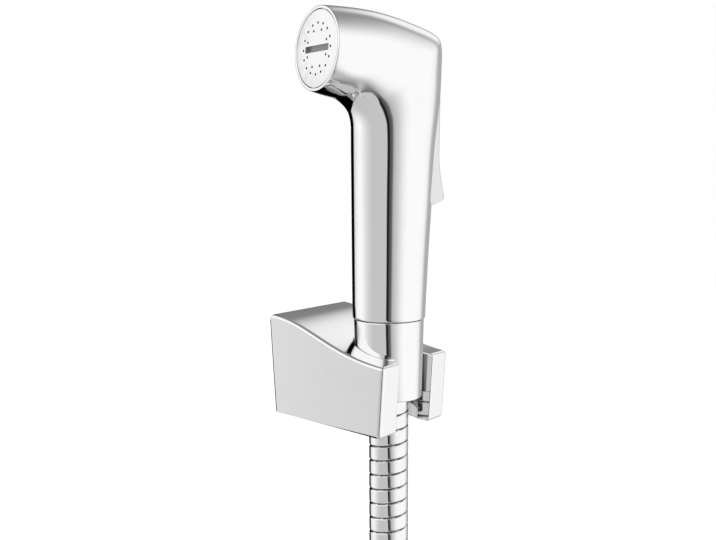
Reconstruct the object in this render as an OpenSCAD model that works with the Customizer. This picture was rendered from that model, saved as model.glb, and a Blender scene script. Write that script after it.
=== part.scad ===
// Trigger hand shower with its hose, resting in its wall holder.
// The origin lies on the wall, midway between the wall plate's two screw holes.
// The wall is the plane y = 0, the object stands out along -Y, and +Z is up.

/* [Handset] */
// Diameter of the handle at the collar seam
grip_d = 25.5; // [24.5:0.1:28]
// Diameter of the handle just below the elbow
grip_top_d = 28.6; // [27:0.1:31]
// How far the handle's centre drifts back on its way up to the elbow
grip_shift = 1.3; // [0.5:0.1:2]
// Height of the elbow's centre of bend above the seam
elbow_z = 64.3; // [62:0.1:67]
// Radius of the bend under the head
elbow_r = 11.5; // [9:0.5:13]
// Diameter of the spray face's rim
face_d = 27.7; // [26.5:0.1:30]
// Reach of the spray face in front of the handle's axis
face_reach = 29; // [27:0.5:36]
// Height of the spray face's centre above the top of the handle
face_rise = 26.7; // [25:0.1:31]
// Upward tilt of the spray face, in degrees
face_tilt = 3.9; // [0:0.1:8]
// Reach of the back of the head behind the handle's axis
back_reach = 19.5; // [18.5:0.1:22]
// Rounding of the corner at the back of the head
corner_r = 3; // [2:0.1:4]
// Fall of the crown line from the spray face to the back of the head
crown_fall = 7.2; // [5:0.1:9]
// Turn of the head about the handle, from pointing right along the wall, in degrees
head_turn = 161; // [90:1:270]

/* [Spray plate] */
// Width of the rim round the spray plate
rim_w = 1.2; // [1:0.1:2]
// Thickness of the spray plate
plate_t = 2.2; // [1.8:0.1:3]
// Diameter of one spray nozzle
nozzle_d = 0.9; // [0.6:0.1:1.2]
// Diameter of the outer ring of nozzles
outer_ring_d = 16.7; // [15:0.1:18]
// Number of nozzles in the outer ring
outer_ring_n = 16; // [8:2:24]
// Diameter of the inner ring of nozzles
inner_ring_d = 12.5; // [10:0.1:14]
// Number of nozzles in the inner ring
inner_ring_n = 8; // [4:2:12]
// Length of the coin slot
slot_l = 14.4; // [10:0.1:15]
// Width of the coin slot
slot_w = 2.2; // [1.5:0.1:3]
// Depth of the coin slot
slot_deep = 1.4; // [0.8:0.1:1.6]

/* [Trigger and valve] */
// Height of the trigger's pin above the seam
pin_z = 77.8; // [75.3:0.1:79.3]
// Distance of the trigger's pin behind the handle's axis
pin_x = 12.8; // [12.6:0.1:13.2]
// Diameter of the trigger's pin
pin_d = 2.5; // [2:0.1:3]
// Distance of the trigger's back behind the handle's axis, at the valve
trigger_out = 18.2; // [17.8:0.1:18.6]
// Width of the trigger
trigger_w = 16.4; // [15:0.1:16.8]
// Thickness of the skirts at the trigger's sides
trigger_side_t = 1.3; // [1.1:0.1:1.5]
// Height of the trigger's tip above the seam
trigger_z = 41.1; // [39.3:0.1:44.3]
// Distance of the trigger's tip behind the handle's axis
trigger_reach = 21; // [19.5:0.1:21.5]
// Height of the valve's centre line above the seam
valve_z = 53.3; // [51.3:0.1:56.3]
// Outside diameter of the valve cartridge
cartridge_d = 12; // [11:0.1:12.6]
// Diameter of the valve stem
stem_d = 3.9; // [3:0.1:4.2]
// Travel of the valve stem
stem_travel = 3; // [2:0.1:3]
// Wire diameter of the valve spring
spring_wire = 0.8; // [0.6:0.1:1]
// Number of turns of the valve spring
spring_turns = 4; // [3:1:5]

/* [Hose connection] */
// Diameter of the cone nut at the seam
nut_top_d = 24.6; // [24:0.1:25.2]
// Diameter of the cone nut at its lower end
nut_low_d = 23.2; // [22:0.1:23.6]
// Length of the cone nut
nut_l = 28; // [26:0.1:30]
// Drawn diameter of the half-inch threads, which is their minor diameter
thread_d = 18.64; // [18.2:0.02:19]
// Length of the handset's threaded stub
stub_l = 10; // [8:0.5:11]
// Thickness of the flat washers
washer_t = 2; // [1.5:0.1:2.5]
// Width across the flats of the far end's hexagon nut
hex_w = 24; // [23:0.5:27]
// Length of the hexagon nut's thread
hex_thread_l = 10; // [8:0.5:12]

/* [Hose] */
// Outside diameter of the metal hose
hose_d = 14; // [13:0.1:14.2]
// Width of one turn of the hose's metal strip
strip_w = 5.2; // [4.6:0.1:6]
// Depth of the groove between the turns of the strip
groove = 0.45; // [0.3:0.05:0.6]
// Bore of the metal hose
hose_bore_d = 11.4; // [11.2:0.1:11.8]
// Outside diameter of the rubber tube inside the hose
tube_d = 10.2; // [9.6:0.1:10.4]
// Bore of the rubber tube
tube_bore_d = 8; // [7.6:0.1:8.4]

/* [Holder] */
// Width of the holder at the wall
holder_w = 42.6; // [42:0.1:48]
// How much narrower the holder is at its front
holder_taper = 3.2; // [1:0.1:4]
// Depth of the holder from the wall to the top of its front
holder_deep = 47.8; // [47:0.1:54]
// How far the front draws back towards its foot
front_lean = 3.4; // [2:0.1:5]
// Height of the holder's top edge at the wall, above the screw holes
back_top = 17.7; // [17:0.1:20]
// Depth of the holder's lower edge at the wall, below the screw holes
back_low = 17.7; // [17:0.1:20]
// Height of the top of the front, above the screw holes
front_top = 0.4; // [0:0.1:3]
// Depth of the foot of the front, below the screw holes
front_low = 24.2; // [23:0.1:27]
// Radius of the holder's outer edges
edge_r = 1; // [0.5:0.1:1.5]
// Width of the slot between the fork's arms
fork_gap = 20.2; // [19:0.1:21]
// Distance of the collar seam from the wall
seam_y = 36.8; // [36.5:0.1:38]
// Height of the collar seam above the screw holes
seam_z = 14.7; // [14:0.1:15.5]
// Lean of the handset away from the wall, in degrees
lean = 4; // [3:0.1:5]

/* [Wall fixing] */
// Width of the wall plate
plate_w = 33; // [30:0.5:35]
// Height of the wall plate
plate_h = 26; // [22:0.5:27]
// Thickness of the wall plate
wall_plate_t = 5; // [4:0.5:6]
// Distance between the two screw holes
screw_gap = 20; // [16:1:22]
// Diameter of a screw hole
screw_hole_d = 4.5; // [4:0.1:5]
// Diameter of its countersink
screw_head_d = 8.6; // [8:0.1:9]
// Diameter of the grub screw
grub_d = 4; // [3:0.5:5]

/* [Clearances] */
// Gap round pieces that are pressed or screwed together
fit_gap = 0.05; // [0.03:0.01:0.1]
// Gap between pieces that move past each other
run_gap = 0.3; // [0.25:0.05:0.4]
// Gap between the cone nut and its seat in the holder
seat_gap = 0.1; // [0.06:0.01:0.1]
// Open groove at the collar seam
seam_gap = 0.35; // [0.3:0.05:0.5]

/* [Hidden] */
$fn = 64;
chrome = "silver";
brass = "darkgoldenrod";
rubber = "dimgray";
plastic = "gainsboro";
steel = "lightsteelblue";
reach = 100;

// Handset outline
grip_r = grip_d / 2;
grip_top_r = grip_top_d / 2;
face_r = face_d / 2;
grip_front = grip_top_r - grip_shift;
elbow_x = grip_front + elbow_r;
face_z = elbow_z + face_rise;
crown_z = face_z + face_r + 0.2;
crown_x = 20;
corner_z = crown(-back_reach);
ring_sides = 32;

// Trigger pocket: its floor steps in at the pin and at the trigger's tip
pocket_x = 11;
pocket_pin_x = pin_x - 3.2;
pocket_tip_x = 8;
pocket_w = trigger_w + 2 * run_gap;
pocket_top = pin_z + 5;
pocket_low = trigger_z - 3;
channel_in = trigger_w / 2 - trigger_side_t - run_gap;
tip_step_z = trigger_z + 4.6;
pin_step_z = pin_z - 7;
trigger_t = 2;
trigger_back_r = 14.3;
arm = pin_z - valve_z;

// Valve, all along the cartridge's own axis, from the trigger's side inwards
cartridge_r = cartridge_d / 2;
stem_r = stem_d / 2;
stem_x0 = -pocket_x - stem_travel - 0.4;
press = asin(stem_travel / arm);
seal_gap = 0.02;
gland_t = 2.4;
cartridge_x0 = -pocket_x + gland_t + fit_gap;
cartridge_x1 = 10.5;
seat_x = -1;
seat_t = 1.2;
seat_bore_r = 2.9;
outlet_r = 3.2;
chamber_r = 4.6;
chamber_end = cartridge_x1 - 1.2;
disc_t = 1.5;
disc_x = seat_x + disc_t;
flange_r = chamber_r - 0.5;
flange_t = 1.2;
spring_r = 3;
spring_x0 = disc_x + flange_t;
seal_wire = 1.2;
inlet_port_x = 5;
outlet_port_x = -4.5;
port_r = 2;

// Waterways
spigot_r = 8.5;
spigot_up = 12;
spigot_bore_r = 4.5;
grip_bore_r = 8;
grip_bore_top = pocket_low - 2.5;
head_bore_r = 9.3;
face_bore_r = face_r - rim_w - 1.3;
plate_r = face_r - rim_w - fit_gap;
skirt_l = 6.5;
face_seal_wire = 1.6;
head_bore_back = -6;

// Hose connection, measured along the hose's own axis from the nipple's flange
nut_top_r = nut_top_d / 2;
nut_low_r = nut_low_d / 2;
thread_r = thread_d / 2;
nipple_flange_r = thread_r - run_gap;
nipple_flange_t = 2;
collar_r = hose_d / 2 + 0.5;
collar_t = 1.2;
slip_t = collar_t - 0.2;
neck_l = 1;
soft_end = nipple_flange_t + collar_t + neck_l;
tail_l = 15;
tail_r = tube_bore_d / 2 * cos(180 / 8) - fit_gap;
sleeve_l = 9;
mouth_r = collar_r + run_gap;
flange_z = -stub_l - washer_t - run_gap;
shoulder_z = flange_z - nipple_flange_t - slip_t - run_gap;
lip_t = 2;

// Holder, in depth from the wall and height above the screw holes
bend_top = [16, 14];
bend_low = [25, 5.8];
foot_deep = holder_deep - front_lean;
cone_rate = (nut_top_r - nut_low_r) / nut_l;
cavity_deep = 9;

// Hose route: out of the nut along the handset's axis, then over into a coil that hangs plumb
// below it, so that the coil's own weight keeps it there
straight_l = 67.7;
coil_r = 70;
coil_top = 30;
coil_mid = [0, -29, -190.2];
route_low = [[2.4, -29.9, -87], [9.4, -29.3, -104], [20.5, -29, -118.7]];
coil_step = 15;
coil_rings = 24;
coil_turns = 2 + (90 - coil_top) / 360;
tail_drop = 60;
tail_y = coil_mid[1] - coil_turns * coil_step;
tail_z = coil_mid[2] - tail_drop;
tie_h = 12;
tie_t = 1.2;

function lerp(a, b, t) = a + (b - a) * t;

function unit(v) = v / norm(v);

// A point on the smooth curve through four neighbours, between the middle two
function through(a, b, c, d, t) =
    0.5 * (2 * b + (c - a) * t + (2 * a - 5 * b + 4 * c - d) * t * t
        + (3 * b - 3 * c + d - a) * t * t * t);

// The crown line along the top of the head
function crown(x) = crown_z - crown_fall * pow((crown_x - x) / (crown_x + back_reach), 2);

// A point on the bend under the head, by its angle from straight up
function bend(a) = [elbow_x - elbow_r * sin(a), elbow_z + elbow_r * cos(a)];

// A slice of the handle, by its share of the height from the seam to the elbow
function grip_slice(s) =
    let (r = lerp(grip_r, grip_top_r, s), x = -grip_shift * s, z = elbow_z * s)
    [[x + r, z], [x - r, z], r];

// Slices of the handset from the spray face to the seam:
// the underside's point, the upper side's point and the half width
SLICES = [
    [
        [face_reach + face_r * sin(face_tilt), face_z - face_r * cos(face_tilt)],
        [face_reach - face_r * sin(face_tilt), face_z + face_r * cos(face_tilt)],
        face_r
    ],
    [bend(0), [elbow_x, crown(elbow_x)], lerp(face_r, grip_top_r, 0.4)],
    [bend(18), [elbow_x / 2, crown(elbow_x / 2)], lerp(face_r, grip_top_r, 0.7)],
    [bend(34), [0, crown(0)], grip_top_r],
    [bend(46), [-back_reach / 2, crown(-back_reach / 2)], grip_top_r],
    [bend(54), [corner_r - back_reach, crown(corner_r - back_reach)], grip_top_r],
    [bend(58), [0.23 * corner_r - back_reach, corner_z - 0.17 * corner_r], grip_top_r],
    [bend(62), [-back_reach - 0.1, corner_z - corner_r], grip_top_r],
    [bend(70), [-back_reach, lerp(elbow_z, corner_z, 0.715)], grip_top_r],
    [bend(80), [lerp(-grip_top_r - grip_shift, -back_reach, 0.72), lerp(elbow_z, corner_z, 0.39)],
        grip_top_r],
    grip_slice(1),
    grip_slice(0.75),
    grip_slice(0.4),
    grip_slice(0)
];
STEPS = [2, 2, 3, 3, 2, 2, 2, 2, 2, 3, 3, 1, 1];

// The slice at a share t of the way from slice i to the next
function slice_at(i, t) =
    let (n = len(SLICES) - 1, a = SLICES[max(i - 1, 0)], b = SLICES[i],
        c = SLICES[i + 1], d = SLICES[min(i + 2, n)])
    [for (k = [0 : 2]) through(a[k], b[k], c[k], d[k], t)];

// The oval ring of points of a slice
function slice_ring(s) =
    let (mid = (s[0] + s[1]) / 2, half = (s[1] - s[0]) / 2)
    [for (k = [0 : ring_sides - 1])
        let (a = 360 * k / ring_sides, p = mid + half * cos(a))
        [p[0], s[2] * sin(a), p[1]]];

function handset_rings() = concat(
    [for (i = [0 : len(STEPS) - 1], k = [0 : STEPS[i] - 1])
        slice_ring(slice_at(i, k / STEPS[i]))],
    [slice_ring(SLICES[len(SLICES) - 1])]);

// The back of the trigger, as distance behind the axis, at a height above the seam
function trigger_back(z) =
    let (flare = max(0, trigger_z + 15 - z) / 15)
    trigger_out + 0.4 * (z - valve_z) / (pin_z - valve_z)
        + (trigger_reach - trigger_out) * pow(flare, 1.6);

// A D-shaped slice of the trigger's plate: flat inside, rounded outside
function trigger_slice(z, inner, outer) =
    let (w = trigger_w / 2, sweep = asin(w / trigger_back_r), n = 10)
    concat(
        [[-inner, -w, z]],
        [for (k = [0 : n])
            let (a = lerp(-sweep, sweep, k / n))
            [trigger_back_r * (1 - cos(a)) - outer, trigger_back_r * sin(a), z]],
        [[-inner, w, z]]);

// Rings round a path, each square to it, with a steady sideways direction
function path_way(path, i) =
    let (n = len(path) - 1)
    unit(path[min(i + 1, n)] - path[max(i - 1, 0)]);

function path_rings(path, radii, sides, side_way, first_way, last_way) =
    let (n = len(path) - 1)
    [for (i = [0 : n])
        let (
            t = i == 0 ? first_way : i == n ? last_way : path_way(path, i),
            u = unit(cross(t, side_way)),
            v = cross(u, t)
        )
        [for (k = [0 : sides - 1])
            let (a = 360 * k / sides)
            path[i] + radii[i] * (cos(a) * u + sin(a) * v)]];

// Joins rings of equally many points into one closed solid
module skin(rings) {
    n = len(rings[0]);
    m = len(rings);
    points = [for (r = rings, p = r) p];
    walls = [for (i = [0 : m - 2], k = [0 : n - 1])
        let (a = i * n + k, b = i * n + (k + 1) % n)
        each [[a, b, a + n], [b, b + n, a + n]]];
    first = [for (k = [0 : n - 1]) n - 1 - k];
    last = [for (k = [0 : n - 1]) (m - 1) * n + k];
    polyhedron(points, concat(walls, [first, last]));
}

// Joins rings into a tube: the outer rings out, the bore's rings back
module skin_tube(outer, inner) {
    n = len(outer[0]);
    rings = concat(outer, [for (i = [len(inner) - 1 : -1 : 0]) inner[i]]);
    m = len(rings);
    points = [for (r = rings, p = r) p];
    polyhedron(points, [for (i = [0 : m - 1], k = [0 : n - 1])
        let (j = (i + 1) % m, a = i * n + k, b = i * n + (k + 1) % n,
            c = j * n + k, d = j * n + (k + 1) % n)
        each [[a, b, c], [b, d, c]]]);
}

// A rubber ring of round section, lying flat at z = 0
module o_ring(r, wire) {
    rotate_extrude() translate([r, 0]) circle(d = wire, $fn = 24);
}

// A flat ring standing on z = 0
module flat_ring(outer, inner, h) {
    difference() {
        cylinder(r = outer, h = h);
        translate([0, 0, -1]) cylinder(r = inner, h = h + 2);
    }
}

// The handset's own frame: z along the handle from the seam, +X towards the spray face
module in_handset() {
    translate([0, -seam_y, seam_z]) rotate([lean, 0, 0]) rotate([0, 0, head_turn]) children();
}

// The spray face's frame: z out of the face, x down
module at_face() {
    translate([face_reach, 0, face_z]) rotate([0, 90 - face_tilt, 0]) children();
}

// The valve's frame: z along the stem, from the trigger inwards
module at_valve() {
    translate([0, 0, valve_z]) rotate([0, 90, 0]) children();
}

// The trigger pin's frame: z across the handle
module at_pin() {
    translate([-pin_x, 0, pin_z]) rotate([90, 0, 0]) children();
}

module handset_body() {
    color(chrome) in_handset() difference() {
        skin(handset_rings());
        trigger_pocket();
        // The bore for the spigot, and the water chamber in the handle
        translate([0, 0, -1]) cylinder(r = spigot_r + fit_gap, h = spigot_up + 1 + fit_gap);
        translate([0, 0, spigot_up]) cylinder(r = grip_bore_r, h = grip_bore_top - spigot_up);
        // The waterways into the valve and out of it
        translate([inlet_port_x - 0.6, 0, grip_bore_top - 1])
            cylinder(r = port_r + 1, h = valve_z - cartridge_r - grip_bore_top);
        translate([inlet_port_x, 0, grip_bore_top]) cylinder(r = port_r, h = valve_z - grip_bore_top);
        translate([outlet_port_x, 0, valve_z]) cylinder(r = port_r, h = face_z - valve_z);
        at_valve() translate([0, 0, -pocket_x - 1])
            cylinder(r = cartridge_r + fit_gap, h = cartridge_x1 + pocket_x + 1 + fit_gap);
        // The hollow head and the seat of the spray plate
        at_face() {
            translate([0, 0, head_bore_back - face_reach])
                cylinder(r = head_bore_r, h = face_reach - head_bore_back);
            translate([0, 0, -skirt_l - face_seal_wire - 2 * fit_gap]) cylinder(r = face_bore_r, h = reach);
            translate([0, 0, -plate_t - fit_gap]) cylinder(r = plate_r + 0.2, h = reach);
        }
        // The pin's hole, blind on one side and open on the other
        at_pin() translate([0, 0, -pocket_w / 2 - 1])
            cylinder(r = pin_d / 2 + fit_gap, h = reach);
    }
}

// The metal in front of the pocket's floor
module pocket_floor() {
    polygon([
        [0, -reach],
        [-pocket_tip_x, -reach],
        [-pocket_tip_x, tip_step_z],
        [-pocket_x, tip_step_z],
        [-pocket_x, pin_step_z],
        [-pocket_pin_x, pin_step_z],
        [-pocket_pin_x, reach],
        [0, reach]
    ]);
}

// The recess that the trigger sinks into, with a deeper channel for each of its skirts
module trigger_pocket() {
    rotate([90, 0, 0]) linear_extrude(pocket_w, center = true) difference() {
        translate([-reach, pocket_low]) square([reach, pocket_top - pocket_low]);
        pocket_floor();
    }
    for (y = [-pocket_w / 2, channel_in])
        translate([-reach, y, pocket_low])
            cube([reach - pocket_tip_x, pocket_w / 2 - channel_in, pin_step_z - pocket_low]);
}

module spray_plate() {
    color("white") in_handset() at_face() difference() {
        union() {
            translate([0, 0, -plate_t]) cylinder(r = plate_r, h = plate_t - 0.2);
            translate([0, 0, -skirt_l]) cylinder(r = face_bore_r - fit_gap, h = skirt_l - plate_t);
        }
        translate([0, 0, -skirt_l - 1]) cylinder(r = face_bore_r - 1.6, h = skirt_l - plate_t + 1);
        translate([0, 0, -slot_deep / 2]) cube([slot_w, slot_l, slot_deep], center = true);
        nozzle_ring(outer_ring_d, outer_ring_n);
        nozzle_ring(inner_ring_d, inner_ring_n);
    }
}

module nozzle_ring(d, n) {
    for (k = [0 : n - 1])
        rotate([0, 0, 360 * (k + 0.5) / n])
            translate([d / 2, 0, -skirt_l]) cylinder(d = nozzle_d, h = skirt_l + 1, $fn = 16);
}

module plate_seal() {
    color(rubber) in_handset() at_face()
        translate([0, 0, -skirt_l - face_seal_wire / 2 - fit_gap])
            o_ring(face_bore_r - face_seal_wire / 2 - fit_gap, face_seal_wire);
}

module inlet_spigot() {
    color(brass) in_handset() difference() {
        union() {
            cylinder(r = spigot_r, h = spigot_up);
            translate([0, 0, -stub_l]) cylinder(r = thread_r - fit_gap, h = stub_l);
        }
        translate([0, 0, -stub_l - 1]) cylinder(r = spigot_bore_r, h = stub_l + spigot_up + 2);
        translate([0, 0, spigot_up / 2]) o_ring(spigot_r, 1.8 + 2 * fit_gap);
    }
}

module spigot_seal() {
    color(rubber) in_handset() translate([0, 0, spigot_up / 2]) intersection() {
        o_ring(spigot_r, 1.8);
        cylinder(r = spigot_r, h = 4, center = true);
    }
}

// The trigger's plate, flush with the back of the head at its top and flared at its tip
module trigger_lever() {
    top = pocket_top - run_gap;
    inner = pocket_pin_x + run_gap;
    color(chrome) in_handset() difference() {
        union() {
            difference() {
                skin(concat(
                    [trigger_slice(trigger_z - 2.4, inner, 14),
                        trigger_slice(trigger_z - 0.2, inner, trigger_reach - 0.9)],
                    [for (z = [trigger_z + 1, trigger_z + 4, trigger_z + 8, trigger_z + 12, valve_z + 3, pin_z])
                        trigger_slice(z, inner, trigger_back(z))],
                    [trigger_slice(top - 1.5, inner, trigger_back(pin_z)),
                        trigger_slice(top, inner + 2, trigger_back(pin_z) - 0.5)]
                ));
                trigger_hollow();
            }
            // The nub that pushes the stem
            at_valve() translate([0, 0, -trigger_back(valve_z) + 0.8])
                cylinder(r = 1.6, h = trigger_back(valve_z) - 0.8 + stem_x0 - run_gap);
        }
        at_pin() cylinder(r = pin_d / 2 + fit_gap, h = reach, center = true);
        // Clear of the floor of the skirts' channels when the trigger is pressed
        translate([-pin_x, 0, pin_z]) rotate([0, press, 0]) translate([pin_x, 0, -pin_z])
            rotate([90, 0, 0]) linear_extrude(reach, center = true) polygon([
                [0, -reach],
                [-pocket_tip_x - run_gap, -reach],
                [-pocket_tip_x - run_gap, pin_step_z - run_gap],
                [-pocket_pin_x - run_gap, pin_step_z - run_gap],
                [-pocket_pin_x - run_gap, reach],
                [0, reach]
            ]);
    }
}

// The hollow behind the trigger's plate, which leaves a skirt on each side
module trigger_hollow() {
    rotate([90, 0, 0]) linear_extrude(trigger_w - 2 * trigger_side_t, center = true) polygon([
        [0, trigger_z - 1],
        [-trigger_reach + 5, trigger_z + 0.9],
        [trigger_t - trigger_back(trigger_z + 4), trigger_z + 4],
        [trigger_t - trigger_back(valve_z + 3), valve_z + 3],
        [trigger_t - trigger_back(pin_z), pin_z - 4.5],
        [0, pin_z - 4.5]
    ]);
}

module trigger_pin() {
    color(steel) in_handset() at_pin() translate([0, 0, -pocket_w / 2 - 0.9])
        cylinder(d = pin_d, h = pocket_w + 2.1);
}

module valve_cartridge() {
    color(plastic) in_handset() difference() {
        at_valve() translate([0, 0, cartridge_x0])
            cylinder(r = cartridge_r, h = cartridge_x1 - cartridge_x0);
        at_valve() {
            translate([0, 0, cartridge_x0 - 1]) cylinder(r = outlet_r, h = seat_x - seat_t - cartridge_x0 + 1);
            translate([0, 0, seat_x - seat_t - 1]) cylinder(r = seat_bore_r, h = seat_t + 2);
            translate([0, 0, seat_x]) cylinder(r = chamber_r, h = chamber_end - seat_x);
            for (x = [cartridge_x0 + 1.6, cartridge_x1 - 1.8])
                translate([0, 0, x]) o_ring(cartridge_r, seal_wire + 2 * fit_gap);
        }
        translate([inlet_port_x, 0, valve_z - reach]) cylinder(r = port_r, h = reach);
        translate([outlet_port_x, 0, valve_z]) cylinder(r = port_r, h = reach);
    }
}

module cartridge_seals() {
    color(rubber) in_handset() at_valve() intersection() {
        for (x = [cartridge_x0 + 1.6, cartridge_x1 - 1.8])
            translate([0, 0, x]) o_ring(cartridge_r, seal_wire);
        cylinder(r = cartridge_r, h = reach, center = true);
    }
}

module gland_nut() {
    color(brass) in_handset() at_valve() translate([0, 0, -pocket_x]) difference() {
        cylinder(r = cartridge_r, h = gland_t);
        translate([0, 0, -1]) cylinder(r = stem_r + fit_gap, h = gland_t + 2);
        // Two holes for the fitter's pin spanner
        for (side = [-1, 1])
            translate([0, side * cartridge_r * 0.68, -1]) cylinder(d = 1.6, h = 2.2, $fn = 24);
    }
}

module valve_stem() {
    color(brass) in_handset() at_valve() {
        translate([0, 0, stem_x0]) cylinder(r = stem_r, h = seat_x - 0.4 - stem_x0);
        translate([0, 0, seat_x - 0.5]) cylinder(r = 1.1, h = disc_t + 0.6);
        translate([0, 0, disc_x]) cylinder(r = flange_r, h = flange_t);
        translate([0, 0, disc_x + flange_t - 0.1]) cylinder(r = 1.6, h = 2.2);
    }
}

module stem_seal() {
    color(rubber) in_handset() at_valve()
        translate([0, 0, cartridge_x0 + 0.7]) flat_ring(outlet_r - seal_gap, stem_r + seal_gap, 1.2);
}

module valve_washer() {
    color(rubber) in_handset() at_valve()
        translate([0, 0, seat_x]) flat_ring(flange_r - 0.1, 1.1, disc_t);
}

// The spring is one wire, wound clear of itself between the stem's flange and the cartridge's end
module valve_spring() {
    r = spring_wire / 2;
    l = chamber_end - spring_x0 - spring_wire;
    steps = 8 * spring_turns;
    line = [for (i = [0 : steps])
        [spring_r * cos(45 * i), spring_r * sin(45 * i), l * i / steps]];
    way = [0, 1, l / spring_turns / (2 * PI * spring_r)];
    echo(valve_spring_gap = l / spring_turns - spring_wire);
    color(steel) in_handset() at_valve() translate([0, 0, spring_x0 + r])
        skin(path_rings(line, [for (p = line) r], 6, [0, 0, 1], unit(way), unit(way)));
}

module inlet_washer() {
    color(rubber) in_handset() translate([0, 0, -stub_l - washer_t])
        flat_ring(nipple_flange_r, spigot_bore_r, washer_t);
}

module cone_nut() {
    color(chrome) in_handset() rotate_extrude($fn = 96) polygon([
        [thread_r, -seam_gap],
        [nut_top_r - 0.3, -seam_gap],
        [nut_top_r, -seam_gap - 0.3],
        [nut_low_r + 0.1, -nut_l + 0.6],
        [nut_low_r - 0.5, -nut_l],
        [mouth_r, -nut_l],
        [mouth_r, shoulder_z],
        [thread_r, shoulder_z]
    ]);
}

// The upper hose end's frame: z = 0 is the front of the nipple's flange
module at_hose_top() {
    in_handset() translate([0, 0, flange_z]) children();
}

// The far hose end's frame, turned over
module at_hose_end() {
    translate([coil_r, tail_y, tail_z - soft_end]) rotate([180, 0, 0]) children();
}

module nipple() {
    difference() {
        union() {
            translate([0, 0, -nipple_flange_t]) cylinder(r = nipple_flange_r, h = nipple_flange_t);
            translate([0, 0, -nipple_flange_t - collar_t]) cylinder(r = collar_r, h = collar_t + 0.1);
            translate([0, 0, -soft_end]) cylinder(r = tube_d / 2, h = neck_l + 0.1);
            translate([0, 0, -soft_end - tail_l]) cylinder(r = tail_r, h = tail_l + 0.1);
        }
        translate([0, 0, -soft_end - tail_l - 1]) cylinder(r = tail_r - 0.8, h = soft_end + tail_l + 2);
    }
}

module sleeve() {
    translate([0, 0, -nipple_flange_t - collar_t - sleeve_l])
        flat_ring(collar_r, hose_d / 2 + fit_gap, sleeve_l);
}

module slip_ring() {
    color(plastic) at_hose_top() translate([0, 0, -nipple_flange_t - slip_t])
        flat_ring(nipple_flange_r, collar_r + fit_gap, slip_t);
}

module hose_nipple() {
    color(brass) at_hose_top() nipple();
}

module crimp_sleeve() {
    color(steel) at_hose_top() sleeve();
}

module end_nipple() {
    color(brass) at_hose_end() nipple();
}

module end_sleeve() {
    color(steel) at_hose_end() sleeve();
}

module end_washer() {
    color(rubber) at_hose_end() flat_ring(nipple_flange_r, spigot_bore_r, washer_t);
}

// The hexagon nut turns freely on the nipple's collar
module hex_nut() {
    low = -nipple_flange_t - run_gap - lip_t;
    h = hex_thread_l + washer_t - low;
    across = hex_w / cos(30);
    color(chrome) at_hose_end() difference() {
        intersection() {
            translate([0, 0, low]) cylinder(d = across, h = h, $fn = 6);
            translate([0, 0, low]) rotate_extrude() polygon([
                [0, 0],
                [hex_w / 2 - 0.2, 0],
                [across / 2 + 0.1, 1.1],
                [across / 2 + 0.1, h - 1.1],
                [hex_w / 2 - 0.2, h],
                [0, h]
            ]);
        }
        translate([0, 0, low - 1]) cylinder(r = mouth_r, h = h + 2);
        // The thread, and the wider recess behind it for the flange and the washer
        translate([0, 0, washer_t - 1]) cylinder(r = thread_r, h = h);
        translate([0, 0, -nipple_flange_t - run_gap])
            cylinder(r = thread_r + run_gap, h = nipple_flange_t + run_gap + washer_t);
    }
}

// The hose's centre line from the crimped end down to the coil
function hose_start() = axis_point(flange_z - soft_end);

function axis_point(s) = [0, -seam_y - s * sin(lean), seam_z + s * cos(lean)];

function axis_way() = [0, sin(lean), -cos(lean)];

// A point of the coil and its way on, by the angle travelled from its start
function coil_point(a) = coil_mid
    + [coil_r * sin(coil_top + a), -coil_step * a / 360, coil_r * cos(coil_top + a)];

function coil_way(a) = [cos(coil_top + a), 0, -sin(coil_top + a)];

HOSE_KEYS = concat([hose_start(), axis_point(flange_z - soft_end - straight_l)], route_low);

// Points along the keys, a half strip apart, so that each turn of the strip has two rings
function keys_line(keys) =
    let (n = len(keys) - 1)
    [for (i = [0 : n - 1])
        let (
            b = keys[i],
            c = keys[i + 1],
            gap = norm(c - b),
            a = i == 1 ? c - 2 * gap * axis_way() : keys[max(i - 1, 0)],
            d = i == n - 1 ? b + 2 * gap * coil_way(0) : keys[min(i + 2, n)],
            m = max(2, 2 * round(gap / strip_w))
        )
        for (k = [0 : m - 1]) i == 0 ? lerp(b, c, k / m) : through(a, b, c, d, k / m)];

HOSE_LINE = concat(keys_line(concat(HOSE_KEYS, [coil_point(0)])), [coil_point(0)]);

// The coil's centre line: round and round beside itself, then plumb down to its fitting
function coil_line() = concat(
    [for (i = [0 : coil_turns * coil_rings]) coil_point(360 * i / coil_rings)],
    [for (k = [1 : 4]) [coil_r, tail_y, coil_mid[2] - tail_drop * k / 4]]);

// The least clear gap between turns of a tube, measured on the points of its centre line
function least_gap(line, apart, d) =
    min([for (i = [0 : len(line) - 1 - apart], j = [i + apart : len(line) - 1])
        norm(line[i] - line[j])]) - d;

function line_length(line) =
    let (steps = [for (i = [0 : len(line) - 2]) norm(line[i + 1] - line[i])])
    steps * [for (s = steps) 1];

module hose() {
    line = HOSE_LINE;
    n = len(line) - 1;
    crest = hose_d / 2;
    outer = [for (i = [0 : n]) i == 0 || i == n || i % 2 == 0 ? crest : crest - groove];
    bore = [for (i = [0 : n]) hose_bore_d / 2];
    color(chrome) skin_tube(
        path_rings(line, outer, 8, [0, 1, 0], axis_way(), coil_way(0)),
        path_rings(line, bore, 8, [0, 1, 0], axis_way(), coil_way(0)));
}

module inner_tube() {
    line = [for (i = [0 : 2 : len(HOSE_LINE) - 2]) HOSE_LINE[i]];
    whole = concat(line, [coil_point(0)]);
    color(rubber) skin_tube(
        path_rings(whole, [for (p = whole) tube_d / 2], 8, [0, 1, 0], axis_way(), coil_way(0)),
        path_rings(whole, [for (p = whole) tube_bore_d / 2], 8, [0, 1, 0], axis_way(), coil_way(0)));
}

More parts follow.
